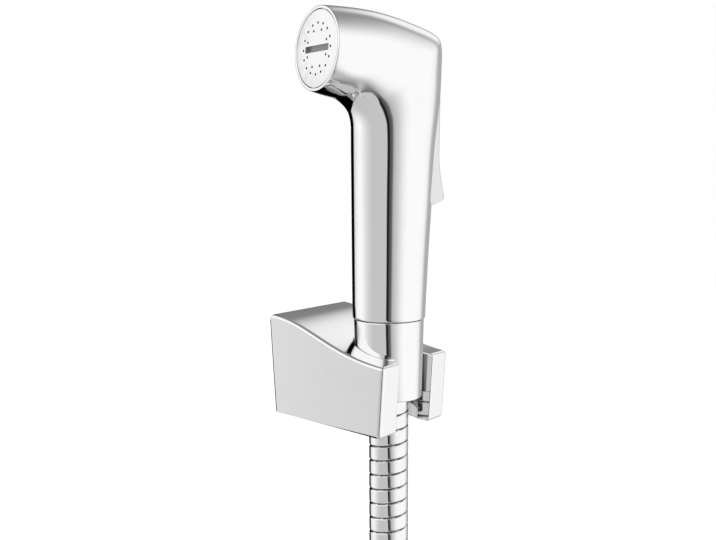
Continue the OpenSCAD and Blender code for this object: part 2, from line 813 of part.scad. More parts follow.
module hose_coil() {
    line = coil_line();
    echo(hose_coil_gap = least_gap(line, coil_rings / 2, hose_d));
    echo(hose_length = line_length(HOSE_LINE) + line_length(line));
    color(chrome) difference() {
        skin(path_rings(line, [for (p = line) hose_d / 2], 6, [0, 1, 0], coil_way(0), [0, 0, -1]));
        at_hose_end() translate([0, 0, -soft_end - tail_l - 1]) cylinder(r = tail_r + fit_gap, h = tail_l + 2);
    }
}

// A strap round the strands where the hose joins the coil, so that it carries the coil
module hose_tie() {
    inner = hose_d / 2 + run_gap;
    half = 180 / coil_rings;
    color(rubber) translate(coil_mid - [0, coil_step * half / 360, 0]) rotate([0, coil_top + half, 0])
        translate([-tie_h / 2, 0, coil_r * cos(half)]) rotate([0, 90, 0]) linear_extrude(tie_h) difference() {
            strap_outline(inner + tie_t);
            strap_outline(inner);
        }
}

module strap_outline(r) {
    deep = floor(coil_turns) * coil_step;
    translate([-r, -deep]) square([2 * r, deep]);
    for (y = [-deep, 0])
        translate([0, y]) circle(r = r);
}

// A point of the holder's side outline, as [depth, height, outward depth, outward height]
function bezier(t) =
    let (
        a = [0, back_top], d = [holder_deep, front_top], u = 1 - t,
        p = a * u * u * u + bend_top * 3 * u * u * t + bend_low * 3 * u * t * t + d * t * t * t,
        w = unit((bend_top - a) * u * u + (bend_low - bend_top) * 2 * u * t + (d - bend_low) * t * t)
    )
    [p[0], p[1], -w[1], w[0]];

// A rounded corner of that outline, between two directions of travel
function corner(p, way_in, way_out, n) =
    let (
        turn = way_in - way_out,
        back = edge_r * tan(turn / 2),
        mid = [p[0] - back * cos(way_in) + edge_r * sin(way_in),
            p[1] - back * sin(way_in) - edge_r * cos(way_in)]
    )
    [for (k = [0 : n])
        let (a = lerp(way_in, way_out, k / n))
        [mid[0] - edge_r * sin(a), mid[1] + edge_r * cos(a), -sin(a), cos(a)]];

function way(a, b) = atan2(b[1] - a[1], b[0] - a[0]);

function holder_outline() =
    let (
        top = [0, back_top], front = [holder_deep, front_top],
        foot = [foot_deep, -front_low], low = [0, -back_low],
        down = way(front, foot), under = way(foot, low) - 360
    )
    concat(
        [[0, -back_low, -1, 0]],
        corner(top, 90, way(top, bend_top), 3),
        [for (k = [1 : 11]) bezier(k / 12)],
        corner(front, way(bend_low, front), down, 4),
        corner(foot, down, under, 4));

// The outline drawn in by some way, at a distance from the holder's middle
function holder_ring(side, drawn_in, narrowed) =
    [for (q = holder_outline())
        let (deep = q[0] - max(0, q[2]) * drawn_in)
        [side * (holder_w / 2 - holder_taper / 2 * deep / holder_deep - narrowed),
            -deep, q[1] - q[3] * drawn_in]];

module holder_block() {
    turns = [0, 30, 60, 90];
    left = [for (a = turns) holder_ring(-1, edge_r * (1 - sin(a)), edge_r * (1 - cos(a)))];
    right = [for (a = turns) holder_ring(1, edge_r * (1 - sin(a)), edge_r * (1 - cos(a)))];
    skin(concat(right, [for (i = [3 : -1 : 0]) left[i]]));
}

module holder_body() {
    color(chrome) difference() {
        holder_block();
        // The tapered seat of the cone nut, and the slot that lets the hose in
        translate([0, -seam_y, seam_z]) rotate([lean, 0, 0]) {
            translate([0, 0, -50]) cylinder(
                r1 = nut_top_r + seat_gap - 50 * cone_rate,
                r2 = nut_top_r + seat_gap + 20 * cone_rate,
                h = 70);
            translate([-fork_gap / 2, -50, -60]) cube([fork_gap, 50, 80]);
        }
        // The recess for the wall plate
        translate([-plate_w / 2 - run_gap, -cavity_deep, -plate_h / 2 - run_gap])
            cube([plate_w + 2 * run_gap, cavity_deep + 1, plate_h + 2 * run_gap]);
        // The grub screw's hole, up through the lower wall
        translate([0, -wall_plate_t / 2, -reach]) cylinder(r = grub_d / 2 + fit_gap, h = reach);
    }
}

module wall_plate() {
    hole_r = screw_hole_d / 2;
    head_r = screw_head_d / 2;
    color(plastic) difference() {
        translate([-plate_w / 2, -wall_plate_t, -plate_h / 2]) cube([plate_w, wall_plate_t, plate_h]);
        for (side = [-1, 1])
            translate([side * screw_gap / 2, 0, 0]) rotate([90, 0, 0]) {
                translate([0, 0, -1]) cylinder(r = hole_r, h = wall_plate_t + 2);
                translate([0, 0, wall_plate_t - head_r + hole_r])
                    cylinder(r1 = hole_r, r2 = head_r + 0.1, h = head_r - hole_r + 0.1);
            }
    }
}

module grub_screw() {
    low = -back_low + 0.3;
    top = -plate_h / 2;
    color(steel) translate([0, -wall_plate_t / 2, low]) difference() {
        cylinder(d = grub_d, h = top - low);
        translate([0, 0, -1]) cylinder(d = grub_d * 0.58, h = 3, $fn = 6);
    }
}

holder_body();
wall_plate();
grub_screw();
handset_body();
spray_plate();
plate_seal();
inlet_spigot();
spigot_seal();
trigger_lever();
trigger_pin();
valve_cartridge();
cartridge_seals();
gland_nut();
valve_stem();
stem_seal();
valve_washer();
valve_spring();
inlet_washer();
cone_nut();
slip_ring();
hose_nipple();
crimp_sleeve();
hose();
inner_tube();
hose_coil();
hose_tie();
end_sleeve();
end_nipple();
end_washer();
hex_nut();
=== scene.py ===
import math

import bmesh
import bpy
import numpy as np
from mathutils import Matrix, Vector


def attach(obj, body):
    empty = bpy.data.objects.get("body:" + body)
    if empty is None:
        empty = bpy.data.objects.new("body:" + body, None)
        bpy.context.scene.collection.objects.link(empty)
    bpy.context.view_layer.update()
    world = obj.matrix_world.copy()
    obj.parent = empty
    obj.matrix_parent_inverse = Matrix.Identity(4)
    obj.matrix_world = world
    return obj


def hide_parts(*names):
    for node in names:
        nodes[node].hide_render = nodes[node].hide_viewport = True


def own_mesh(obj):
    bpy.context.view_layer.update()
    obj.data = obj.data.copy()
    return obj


# A chromed trigger hand shower in its wall holder. The wall is the plane y = 0, the shower
# stands out along -Y, and +Z is up. Lengths are in millimetres up to the last step of each
# piece, which turns them into metres.
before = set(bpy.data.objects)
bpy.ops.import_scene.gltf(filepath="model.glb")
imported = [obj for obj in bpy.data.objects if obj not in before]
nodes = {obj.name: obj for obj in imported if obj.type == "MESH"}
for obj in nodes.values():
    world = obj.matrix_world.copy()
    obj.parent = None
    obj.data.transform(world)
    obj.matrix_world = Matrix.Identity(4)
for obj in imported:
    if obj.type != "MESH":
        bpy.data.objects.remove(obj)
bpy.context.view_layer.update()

MM = 0.001
UP = Vector((0, 0, 1))
CAMERA_SPOT = (-0.28142, -0.24082, 0.05462)
CAMERA_TURNS = (52.441, -3.743, -3.379)

# The handset stands on its collar seam, leans away from the wall and is turned to the left
SEAM = Vector((0, -36.8, 14.7))
LEAN = 4
HEAD_TURN = 161
HANDSET = (Matrix.Translation(SEAM)
           @ Matrix.Rotation(math.radians(LEAN), 4, "X")
           @ Matrix.Rotation(math.radians(HEAD_TURN), 4, "Z"))
HOSE_END_Z = -12.3


def axis_point(s):
    """A point on the handset's axis, s above the collar seam."""
    lean = math.radians(LEAN)
    return SEAM + Vector((0, -s * math.sin(lean), s * math.cos(lean)))


def add_object(name, data):
    obj = bpy.data.objects.new(name, data)
    bpy.context.scene.collection.objects.link(obj)
    return obj


# Camera

def place_camera():
    """A 50 mm lens to the left of the holder, a little above it, slightly rolled."""
    azimuth, fall, roll = (math.radians(a) for a in CAMERA_TURNS)
    ahead = Vector((math.sin(azimuth) * math.cos(fall), math.cos(azimuth) * math.cos(fall),
                    math.sin(fall)))
    level = Vector((math.cos(azimuth), -math.sin(azimuth), 0))
    top = level.cross(ahead)
    right = level * math.cos(roll) + top * math.sin(roll)
    above = top * math.cos(roll) - level * math.sin(roll)
    data = bpy.data.cameras.new("camera")
    data.lens = 50
    data.sensor_width = 36
    data.clip_start = 0.01
    camera = add_object("camera", data)
    camera.matrix_world = Matrix((*zip(right, above, -ahead, CAMERA_SPOT), (0, 0, 0, 1)))
    bpy.context.scene.camera = camera
    bpy.context.scene.view_settings.view_transform = "Standard"


place_camera()


# Mesh making

def finish_mesh(mesh, sharp):
    mesh.update()
    mesh.validate()
    mesh.shade_smooth()
    mesh.set_sharp_from_angle(angle=math.radians(sharp))


def new_mesh(name, points, faces):
    """A mesh from points in millimetres, in the row frame."""
    mesh = bpy.data.meshes.new(name)
    mesh.from_pydata([tuple(p) for p in np.asarray(points, float) * MM], [], faces)
    return mesh


def make_piece(name, points, faces, body, material, sharp=35):
    mesh = new_mesh(name, points, faces)
    finish_mesh(mesh, sharp)
    mesh.materials.append(material)
    obj = add_object(name, mesh)
    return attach(obj, body)


def placed(points, matrix):
    """Points carried by a matrix, as an array of the same shape."""
    turn = np.array(matrix)
    points = np.asarray(points, float)
    moved = points.reshape(-1, 3) @ turn[:3, :3].T + turn[:3, 3]
    return moved.reshape(points.shape)


def ring_faces(rings, sides, closed=False):
    """Quads between rings of equally many points, with flat caps at the two ends unless closed."""
    faces = []
    for i in range(rings if closed else rings - 1):
        a = i * sides
        b = (i + 1) % rings * sides
        for k in range(sides):
            n = (k + 1) % sides
            faces.append((a + k, a + n, b + n, b + k))
    if not closed:
        faces.append(tuple(range(sides - 1, -1, -1)))
        faces.append(tuple((rings - 1) * sides + k for k in range(sides)))
    return faces


def skin(name, rings, body, material, sharp=35, closed=False):
    """A new piece over rings of equally many points in millimetres."""
    rings = np.asarray(rings)
    return make_piece(name, rings.reshape(-1, 3), ring_faces(*rings.shape[:2], closed=closed),
                      body, material, sharp)


def circle(sides):
    """Angles evenly round a circle."""
    return np.linspace(0, 2 * math.pi, sides, endpoint=False)


def turned(outline, sides):
    """Rings about z, one for each (radius, height)."""
    return [(r * math.cos(a), r * math.sin(a), z) for r, z in outline for a in circle(sides)]


def lathe(outline, sides=128):
    """A closed outline of (radius, height) turned about z."""
    return turned(outline, sides), ring_faces(len(outline), sides, closed=True)


def rounded(outline, radius, steps, skip=()):
    """A closed outline with its corners rounded off."""
    out = []
    count = len(outline)
    for i, corner in enumerate(outline):
        corner = np.array(corner, float)
        if i in skip:
            out.append(tuple(corner))
            continue
        before = np.array(outline[i - 1], float) - corner
        after = np.array(outline[(i + 1) % count], float) - corner
        reach = min(radius, 0.45 * np.linalg.norm(before), 0.45 * np.linalg.norm(after))
        start = corner + before / np.linalg.norm(before) * reach
        end = corner + after / np.linalg.norm(after) * reach
        for t in np.linspace(0, 1, steps):
            out.append(tuple((1 - t) ** 2 * start + 2 * t * (1 - t) * corner + t * t * end))
    return out


def applied(obj):
    """Makes what an object's modifiers give its own mesh."""
    view = bpy.context.evaluated_depsgraph_get()
    mesh = bpy.data.meshes.new_from_object(obj.evaluated_get(view))
    obj.modifiers.clear()
    obj.data = mesh


def rework(mesh, work):
    """Edits a mesh's corners, edges and faces in place."""
    made = bmesh.new()
    made.from_mesh(mesh)
    work(made)
    made.to_mesh(mesh)
    made.free()


def combine(obj, others, way="DIFFERENCE"):
    """Cuts bodies out of a piece, or adds them to it, and takes the bodies away."""
    for other in others:
        step = obj.modifiers.new("step", "BOOLEAN")
        step.operation = way
        step.solver = "EXACT"
        step.object = other
        applied(obj)
        mesh = other.data
        bpy.data.objects.remove(other)
        bpy.data.meshes.remove(mesh)


def weld(obj):
    """Joins the corners of a cut piece that lie within a hundredth of a millimetre."""
    rework(obj.data, lambda made: bmesh.ops.remove_doubles(made, verts=made.verts, dist=0.01 * MM))


def soften(obj, width, limit=35, segments=3, clamp=True):
    """Rounds a piece's sharp edges, and keeps its flats flat."""
    edge = obj.modifiers.new("edge", "BEVEL")
    edge.width = width * MM
    edge.segments = segments
    edge.limit_method = "ANGLE"
    edge.angle_limit = math.radians(limit)
    edge.use_clamp_overlap = clamp
    flat = obj.modifiers.new("flat", "WEIGHTED_NORMAL")
    flat.keep_sharp = True
    applied(obj)


def copy_node(name, piece, body, material, width, limit=30):
    """A copy of a CAD node with its edges broken, in place of it."""
    mesh = nodes[name].data.copy()
    mesh.materials.clear()
    mesh.materials.append(material)
    obj = add_object(piece, mesh)

    def join_flats(made):
        bmesh.ops.remove_doubles(made, verts=made.verts, dist=0.001 * MM)
        bmesh.ops.dissolve_limit(made, angle_limit=math.radians(0.5), verts=made.verts, edges=made.edges)

    rework(mesh, join_flats)
    finish_mesh(mesh, limit)
    soften(obj, width, limit)
    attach(obj, body)
    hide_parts(name)
    return obj


def rod(radius, low, high, sides=64):
    """A cylinder along z."""
    return turned(((radius, low), (radius, high)), sides), ring_faces(2, sides)


def block(low, high):
    """A box between two corners."""
    (x0, y0, z0), (x1, y1, z1) = low, high
    points = [(x0, y0, z0), (x1, y0, z0), (x1, y1, z0), (x0, y1, z0),
              (x0, y0, z1), (x1, y0, z1), (x1, y1, z1), (x0, y1, z1)]
    faces = [(3, 2, 1, 0), (4, 5, 6, 7), (0, 1, 5, 4), (1, 2, 6, 5), (2, 3, 7, 6), (3, 0, 4, 7)]
    return points, faces


def wall_between(outline, low, high):
    """An outline of (x, z) made solid from y = low to y = high."""
    return [(x, y, z) for y in (low, high) for x, z in outline], ring_faces(2, len(outline))


def shaped(form, matrix=Matrix.Identity(4)):
    """A cutting body, which isn't part of the object, from a form of points and faces."""
    points, faces = form
    mesh = new_mesh("cutter", placed(points, matrix), faces)
    rework(mesh, lambda made: bmesh.ops.recalc_face_normals(made, faces=made.faces))
    return add_object("cutter", mesh)


# Shader groups

def new_group(name, inputs, outputs):
    group = bpy.data.node_groups.new(name, "ShaderNodeTree")
    for label, kind, value in inputs:
        socket = group.interface.new_socket(label, in_out="INPUT", socket_type=kind)
        if value is not None:
            socket.default_value = value
    for label, kind in outputs:
        group.interface.new_socket(label, in_out="OUTPUT", socket_type=kind)
    return group, group.nodes.new("NodeGroupInput"), group.nodes.new("NodeGroupOutput")


def add_node(tree, kind, **values):
    node = tree.nodes.new(kind)
    for key, value in values.items():
        setattr(node, key, value)
    return node


def feed(tree, given, socket):
    """Sets a socket to a value, or links it to another socket."""
    if isinstance(given, bpy.types.NodeSocket):
        tree.links.new(given, socket)
    else:
        socket.default_value = given


def math_node(tree, operation, *values):
    node = add_node(tree, "ShaderNodeMath", operation=operation)
    for value, socket in zip(values, node.inputs):
        feed(tree, value, socket)
    return node.outputs[0]


def noise(tree, place, scale, detail=2):
    """A noise whose scale is a number or a socket."""
    node = add_node(tree, "ShaderNodeTexNoise")
    node.inputs["Detail"].default_value = detail
    tree.links.new(place, node.inputs["Vector"])
    feed(tree, scale, node.inputs["Scale"])
    return node.outputs[0]


def remapped(tree, value, kind="LINEAR", **limits):
    """A value carried from one range to another. The limits are named as the node names them."""
    node = add_node(tree, "ShaderNodeMapRange", interpolation_type=kind)
    for key, limit in limits.items():
        node.inputs[key.replace("_", " ")].default_value = limit
    tree.links.new(value, node.inputs["Value"])
    return node.outputs[0]


def water_film_group():
    """Faint drying marks and finger haze: a mask that is 1 where a film dulls the polish."""
    group, given, result = new_group(
        "water_film",
        [("Spot Size", "NodeSocketFloat", 260.0), ("Amount", "NodeSocketFloat", 0.5)],
        [("Film", "NodeSocketFloat")])
    place = add_node(group, "ShaderNodeTexCoord").outputs["Object"]
    spots = noise(group, place, given.outputs["Spot Size"], 3)
    broad = noise(group, place, 38)
    edge = remapped(group, math_node(group, "MULTIPLY", spots, broad), "SMOOTHSTEP",
                    From_Min=0.22, From_Max=0.38)
    group.links.new(math_node(group, "MULTIPLY", edge, given.outputs["Amount"]), result.inputs["Film"])
    return group


def fine_scratch_group():
    """Hairline wiping marks, as a height: long thin streaks in two directions."""
    group, given, result = new_group(
        "fine_scratch",
        [("Streaks", "NodeSocketFloat", 900.0)],
        [("Height", "NodeSocketFloat")])
    link = group.links.new
    place = add_node(group, "ShaderNodeTexCoord")
    heights = []
    for turn, squash in ((0.35, 0.05), (-0.8, 0.07)):
        lay = add_node(group, "ShaderNodeMapping")
        lay.inputs["Rotation"].default_value = (0, 0.2, turn)
        lay.inputs["Scale"].default_value = (1, 1, squash)
        link(place.outputs["Object"], lay.inputs["Vector"])
        heights.append(noise(group, lay.outputs[0], given.outputs["Streaks"], 1))
    link(math_node(group, "ADD", *heights), result.inputs["Height"])
    return group


def brushed_grain_group():
    """Turned or drawn grain: fine lines square to one direction, as a height and a tone."""
    group, given, result = new_group(
        "brushed_grain",
        [("Across", "NodeSocketFloat", 2600.0), ("Along", "NodeSocketFloat", 60.0)],
        [("Height", "NodeSocketFloat"), ("Tone", "NodeSocketFloat")])
    link = group.links.new
    place = add_node(group, "ShaderNodeTexCoord")
    size = add_node(group, "ShaderNodeCombineXYZ")
    link(given.outputs["Along"], size.inputs["X"])
    link(given.outputs["Along"], size.inputs["Y"])
    link(given.outputs["Across"], size.inputs["Z"])
    stretch = add_node(group, "ShaderNodeVectorMath", operation="MULTIPLY")
    link(place.outputs["Object"], stretch.inputs[0])
    link(size.outputs[0], stretch.inputs[1])
    grain = noise(group, stretch.outputs[0], 1)
    link(grain, result.inputs["Height"])
    link(grain, result.inputs["Tone"])
    return group


def moulded_skin_group():
    """The fine orange-peel of a moulded part, as a height, and its slow shift of tone."""
    group, given, result = new_group(
        "moulded_skin",
        [("Pores", "NodeSocketFloat", 3200.0)],
        [("Height", "NodeSocketFloat"), ("Tone", "NodeSocketFloat")])
    place = add_node(group, "ShaderNodeTexCoord").outputs["Object"]
    group.links.new(noise(group, place, given.outputs["Pores"]), result.inputs["Height"])
    group.links.new(noise(group, place, 90), result.inputs["Tone"])
    return group


WATER_FILM = water_film_group()
FINE_SCRATCH = fine_scratch_group()
BRUSHED_GRAIN = brushed_grain_group()
MOULDED_SKIN = moulded_skin_group()


def start_material(name, metallic, roughness):
    material = bpy.data.materials.new(name)
    material.use_nodes = True
    tree = material.node_tree
    shader = tree.nodes["Principled BSDF"]
    shader.inputs["Metallic"].default_value = metallic
    shader.inputs["Roughness"].default_value = roughness
    return material, tree, shader


def place_group(tree, group, **values):
    node = add_node(tree, "ShaderNodeGroup", node_tree=group)
    for key, value in values.items():
        node.inputs[key.replace("_", " ")].default_value = value
    return node


def tone_between(tree, mask, low, high):
    """A colour between two, by a mask."""
    mix = add_node(tree, "ShaderNodeMix", data_type="RGBA")
    mix.inputs["A"].default_value = (*low, 1)
    mix.inputs["B"].default_value = (*high, 1)
    tree.links.new(mask, mix.inputs["Factor"])
    return mix.outputs["Result"]


def bump(tree, height, strength, distance):
    node = add_node(tree, "ShaderNodeBump")
    node.inputs["Strength"].default_value = strength
    node.inputs["Distance"].default_value = distance
    tree.links.new(height, node.inputs["Height"])
    return node.outputs["Normal"]


def dress(tree, shader, mask, tones, rough, height, depth, distance):
    """Gives a shader its colour and roughness by a mask, and its relief by a height."""
    link = tree.links.new
    link(tone_between(tree, mask, *tones), shader.inputs["Base Color"])
    link(remapped(tree, mask, To_Min=rough[0], To_Max=rough[1]), shader.inputs["Roughness"])
    link(bump(tree, height, depth, distance), shader.inputs["Normal"])


def plated(name, clean, filmed, polish, dull, scratch_depth, amount=0.5):
    """Bright nickel-chrome plating with a faint water film and wiping marks."""
    material, tree, shader = start_material(name, 1, polish)
    film = place_group(tree, WATER_FILM, Amount=amount)
    marks = place_group(tree, FINE_SCRATCH)
    dress(tree, shader, film.outputs["Film"], (clean, filmed), (polish, dull),
          marks.outputs["Height"], scratch_depth, 0.00002)
    return material


def grained_metal(name, dark, light, low, high, across, along, depth):
    """Turned, drawn or wire-brushed metal."""
    material, tree, shader = start_material(name, 1, low)
    grain = place_group(tree, BRUSHED_GRAIN, Across=across, Along=along)
    dress(tree, shader, grain.outputs["Tone"], (dark, light), (low, high),
          grain.outputs["Height"], depth, 0.00003)
    return material


def moulded(name, dark, light, low, high, pores, depth, specular=0.5):
    """Moulded rubber or plastic."""
    material, tree, shader = start_material(name, 0, low)
    peel = place_group(tree, MOULDED_SKIN, Pores=pores)
    dress(tree, shader, peel.outputs["Tone"], (dark, light), (low, high),
          peel.outputs["Height"], depth, 0.00004)
    shader.inputs["Specular IOR Level"].default_value = specular
    return material


chrome = plated("polished_chrome", (0.96, 0.96, 0.962), (0.93, 0.932, 0.936), 0.02, 0.06, 0.04)
plate_chrome = plated("plate_chrome", (0.93, 0.93, 0.93), (0.88, 0.88, 0.88), 0.12, 0.2, 0.1)
trigger_chrome = plated("trigger_chrome", (0.79, 0.79, 0.795), (0.74, 0.74, 0.745), 0.1, 0.16, 0.08)
# Painted shade: a dark, rougher copy of the plating for the coin slot's recess
slot_painted_shade = plated("slot_painted_shade", (0.34, 0.34, 0.345), (0.26, 0.26, 0.265), 0.5, 0.6, 0.2)
# Painted shade: a darker copy of the chrome for the holder's seat and fork, where the nut shades them
seat_painted_shade = plated("seat_painted_shade", (0.57, 0.57, 0.575), (0.52, 0.52, 0.525), 0.06, 0.12, 0.1)
# Painted shade: a near-black copy of the plating for the bottoms of the hose's grooves
groove_painted_shade = plated("groove_painted_shade", (0.13, 0.13, 0.132), (0.1, 0.1, 0.102), 0.25, 0.35, 0.2)
hose_chrome = plated("hose_chrome", (0.94, 0.942, 0.945), (0.88, 0.885, 0.89), 0.02, 0.07, 0.06, 0.6)
stainless = grained_metal("stainless", (0.52, 0.52, 0.53), (0.68, 0.68, 0.69), 0.25, 0.42, 2600, 80, 0.25)
turned_brass = grained_metal("turned_brass", (0.62, 0.44, 0.19), (0.78, 0.58, 0.29), 0.2, 0.36, 3000,
                             50, 0.2)
black_rubber = moulded("black_rubber", (0.012, 0.012, 0.013), (0.03, 0.03, 0.031), 0.55, 0.75, 2600,
                       0.3, 0.3)
strap_rubber = moulded("strap_rubber", (0.02, 0.02, 0.021), (0.045, 0.045, 0.046), 0.5, 0.68, 1800,
                       0.35, 0.35)
pale_plastic = moulded("pale_plastic", (0.7, 0.69, 0.66), (0.8, 0.79, 0.76), 0.4, 0.55, 3200, 0.2)


# Hose

HOSE_R = 7
HOSE_BORE_R = 5.7
STRIP = 5.2
GROOVE = 0.5
COIL_MID = Vector((0, -29, -190.2))
COIL_R = 70
COIL_TOP = 30
COIL_STEP = 15
COIL_TURNS = 2 + (90 - COIL_TOP) / 360
TAIL_DROP = 60
TUBE_R = 5.1
TUBE_BORE_R = 4.0
TUBE_SIDES = 32
STRAP_T = 1.2
STRAP_W = 12
STRAP_AT = 7.5
HOSE_TOP = HOSE_END_Z - 4.2
BEND_TOP = HOSE_TOP - 67.7
ROUTE_LOW = [Vector((2.4, -29.9, -87)), Vector((9.4, -29.3, -104)), Vector((20.5, -29, -118.7))]


def through(a, b, c, d, t):
    """A point of the smooth curve through four neighbours, between the middle two."""
    return 0.5 * (2 * b + (c - a) * t + (2 * a - 5 * b + 4 * c - d) * t * t
                  + (3 * b - 3 * c + d - a) * t * t * t)


def coil_point(travelled):
    """A point of the coil, by the angle travelled from where the hose joins it, in degrees."""
    a = math.radians(COIL_TOP + travelled)
    return COIL_MID + Vector((COIL_R * math.sin(a), -COIL_STEP * travelled / 360,
                              COIL_R * math.cos(a)))


def hose_line():
    """The hose's centre line: down out of the nut, over into the coil, round it, and down its tail."""
    line = [axis_point(HOSE_TOP + (BEND_TOP - HOSE_TOP) * k / 16) for k in range(16)]
    keys = [axis_point(BEND_TOP), *ROUTE_LOW, coil_point(0)]
    down = axis_point(-1) - axis_point(0)
    along_coil = Vector((math.cos(math.radians(COIL_TOP)), 0, -math.sin(math.radians(COIL_TOP))))
    before = keys[1] - 2 * (keys[1] - keys[0]).length * down
    after = keys[-2] + 2 * (keys[-1] - keys[-2]).length * along_coil
    keys = [before, *keys, after]
    for i in range(1, len(keys) - 2):
        line += [through(*keys[i - 1:i + 3], k / 8) for k in range(8)]
    line += [coil_point(360 * COIL_TURNS * k / 156) for k in range(157)]
    foot = coil_point(360 * COIL_TURNS)
    line += [foot - UP * TAIL_DROP * k / 12 for k in range(1, 13)]
    return np.array([tuple(p) for p in line])


def evenly(line, step):
    """Points along a line, a step apart, and their distances from its start."""
    lengths = np.concatenate(([0], np.cumsum(np.linalg.norm(np.diff(line, axis=0), axis=1))))
    count = max(2, round(lengths[-1] / step))
    along = np.linspace(0, lengths[-1], count + 1)
    return np.stack([np.interp(along, lengths, line[:, i]) for i in range(3)], 1), along


def smooth_line(line, rounds):
    """Takes the small corners out of a line, and leaves its ends where they are."""
    line = line.copy()
    for _ in range(rounds):
        line[1:-1] = (line[:-2] + 2 * line[1:-1] + line[2:]) / 4
    return line


def line_frames(line, sideways=(0, 1, 0)):
    """For each point of a line, its way, and two directions square to it."""
    way = np.gradient(line, axis=0)
    way /= np.linalg.norm(way, axis=1)[:, None]
    out = np.cross(way, np.array(sideways, float))
    out /= np.linalg.norm(out, axis=1)[:, None]
    return way, out, np.cross(way, out)


def tube_points(line, radii, sides, sideways=(0, 1, 0)):
    """Rings round a line. radii is one number a ring, or one a point."""
    _, out, over = line_frames(line, sideways)
    turns = circle(sides)
    radii = np.broadcast_to(radii, (len(line), sides))
    return (line[:, None, :]
            + radii[:, :, None] * (np.cos(turns)[None, :, None] * out[:, None, :]
                                   + np.sin(turns)[None, :, None] * over[:, None, :]))


def strip_radii(along, sides):
    """The wound strip: crowned turns with a narrow groove between them, rising as a right-hand screw."""
    turns = np.linspace(0, 1, sides, endpoint=False)
    phase = (along[:, None] / STRIP - turns[None, :]) % 1
    fall = 0.06 * np.abs(2 * phase - 1) ** 3
    near = np.minimum(phase, 1 - phase) / 0.055
    return HOSE_R - fall - GROOVE * np.exp(-near ** 4)


def make_hose():
    line = hose_line()
    top, top_along = evenly(line[:49], 0.17)
    rest, rest_along = evenly(line[48:], 0.5)
    points = smooth_line(np.concatenate((top, rest[1:])), 3)
    along = np.concatenate((top_along, top_along[-1] + rest_along[1:]))
    sides = 40
    outer = tube_points(points, strip_radii(along, sides), sides)
    bore_line = np.concatenate((points[:-1:12], points[-1:]))
    bore = tube_points(bore_line, HOSE_BORE_R, sides)[::-1]
    hose = skin("metal_hose", np.concatenate((outer, bore)), "hose", hose_chrome, 60, True)
    # Faces at the bottom of the strip's groove take the near-black plating: painted shade in the grooves
    hose.data.materials.append(groove_painted_shade)
    sunk = np.zeros(len(hose.data.vertices), bool)
    sunk[:len(points) * sides] = strip_radii(along, sides).ravel() < HOSE_R - 0.6 * GROOVE
    for polygon in hose.data.polygons:
        if sunk[list(polygon.vertices)].sum() > 2:
            polygon.material_index = 1
    path = [tuple(p * MM) for p in smooth_line(evenly(line, 2)[0], 1)]
    upper = smooth_line(evenly(line[:61], 2)[0], 2)
    outer = tube_points(upper, TUBE_R, TUBE_SIDES)
    inner = tube_points(upper, TUBE_BORE_R, TUBE_SIDES)[::-1]
    tube = skin("rubber_tube", np.concatenate((outer, inner)), "hose", black_rubber, closed=True)
    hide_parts("inner_tube")
    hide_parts("hose", "hose_coil")
    return hose, path, tube


def make_tie():
    """A moulded strap round the three strands where the hose joins its coil."""
    side = STRAP_W / 2
    section = rounded([(0, -side), (STRAP_T, -side), (STRAP_T, side), (0, side)], 0.4, 4)
    bore = HOSE_R + 0.25
    rings = []
    for start, y in ((0, 0), (math.pi, -2 * COIL_STEP)):
        for k in range(25):
            a = start + math.pi * k / 24
            rings.append([((bore + depth) * math.cos(a), y + (bore + depth) * math.sin(a), along)
                          for depth, along in section])
    turn = math.radians(COIL_TOP + STRAP_AT)
    place = (Matrix.Translation(COIL_MID - Vector((0, COIL_STEP * STRAP_AT / 360, 0)))
             @ Matrix.Rotation(turn, 4, "Y")
             @ Matrix.Translation((0, 0, COIL_R - 0.15))
             @ Matrix.Rotation(math.radians(90), 4, "Y"))
    tie = skin("coil_strap", placed(rings, place), "hose", strap_rubber, closed=True)
    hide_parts("hose_tie")
    return tie


hose, hose_path, rubber_tube = make_hose()
coil_strap = make_tie()
supply_nut = copy_node("hex_nut", "supply_nut", "nut", chrome, 0.25, 25)


# Handset

GRIP_R = 12.75
GRIP_TOP_R = 14.3
GRIP_SHIFT = 1.3
ELBOW_Z = 64.3
ELBOW_R = 11.5
ELBOW_X = GRIP_TOP_R - GRIP_SHIFT + ELBOW_R
FACE_R = 13.85
FACE_REACH = 29
FACE_Z = ELBOW_Z + 26.7
FACE_TILT = 3.9
BACK_REACH = 19.5
CROWN_Z = FACE_Z + FACE_R + 0.2
CROWN_X = 20
CROWN_FALL = 7.2
CORNER_R = 3
HEEL = 1.6
MOUTH_R = 12.8
FACE_BORE_R = 11.35
HEAD_BORE_R = 9.3
GRIP_BORE_R = 8
SPIGOT_R = 8.5
AROUND = 96
RINGS = 150
EASE_ROUNDS = 28


def crown(x):
    """The line along the top of the head."""
    return CROWN_Z - CROWN_FALL * ((CROWN_X - x) / (CROWN_X + BACK_REACH)) ** 2


def bend(angle):
    a = math.radians(angle)
    return (ELBOW_X - ELBOW_R * math.sin(a), ELBOW_Z + ELBOW_R * math.cos(a))


def grip_slice(share):
    r = GRIP_R + (GRIP_TOP_R - GRIP_R) * share
    x = -GRIP_SHIFT * share
    z = ELBOW_Z * share
    return ((x + r, z), (x - r - HEEL * share ** 2, z), r)


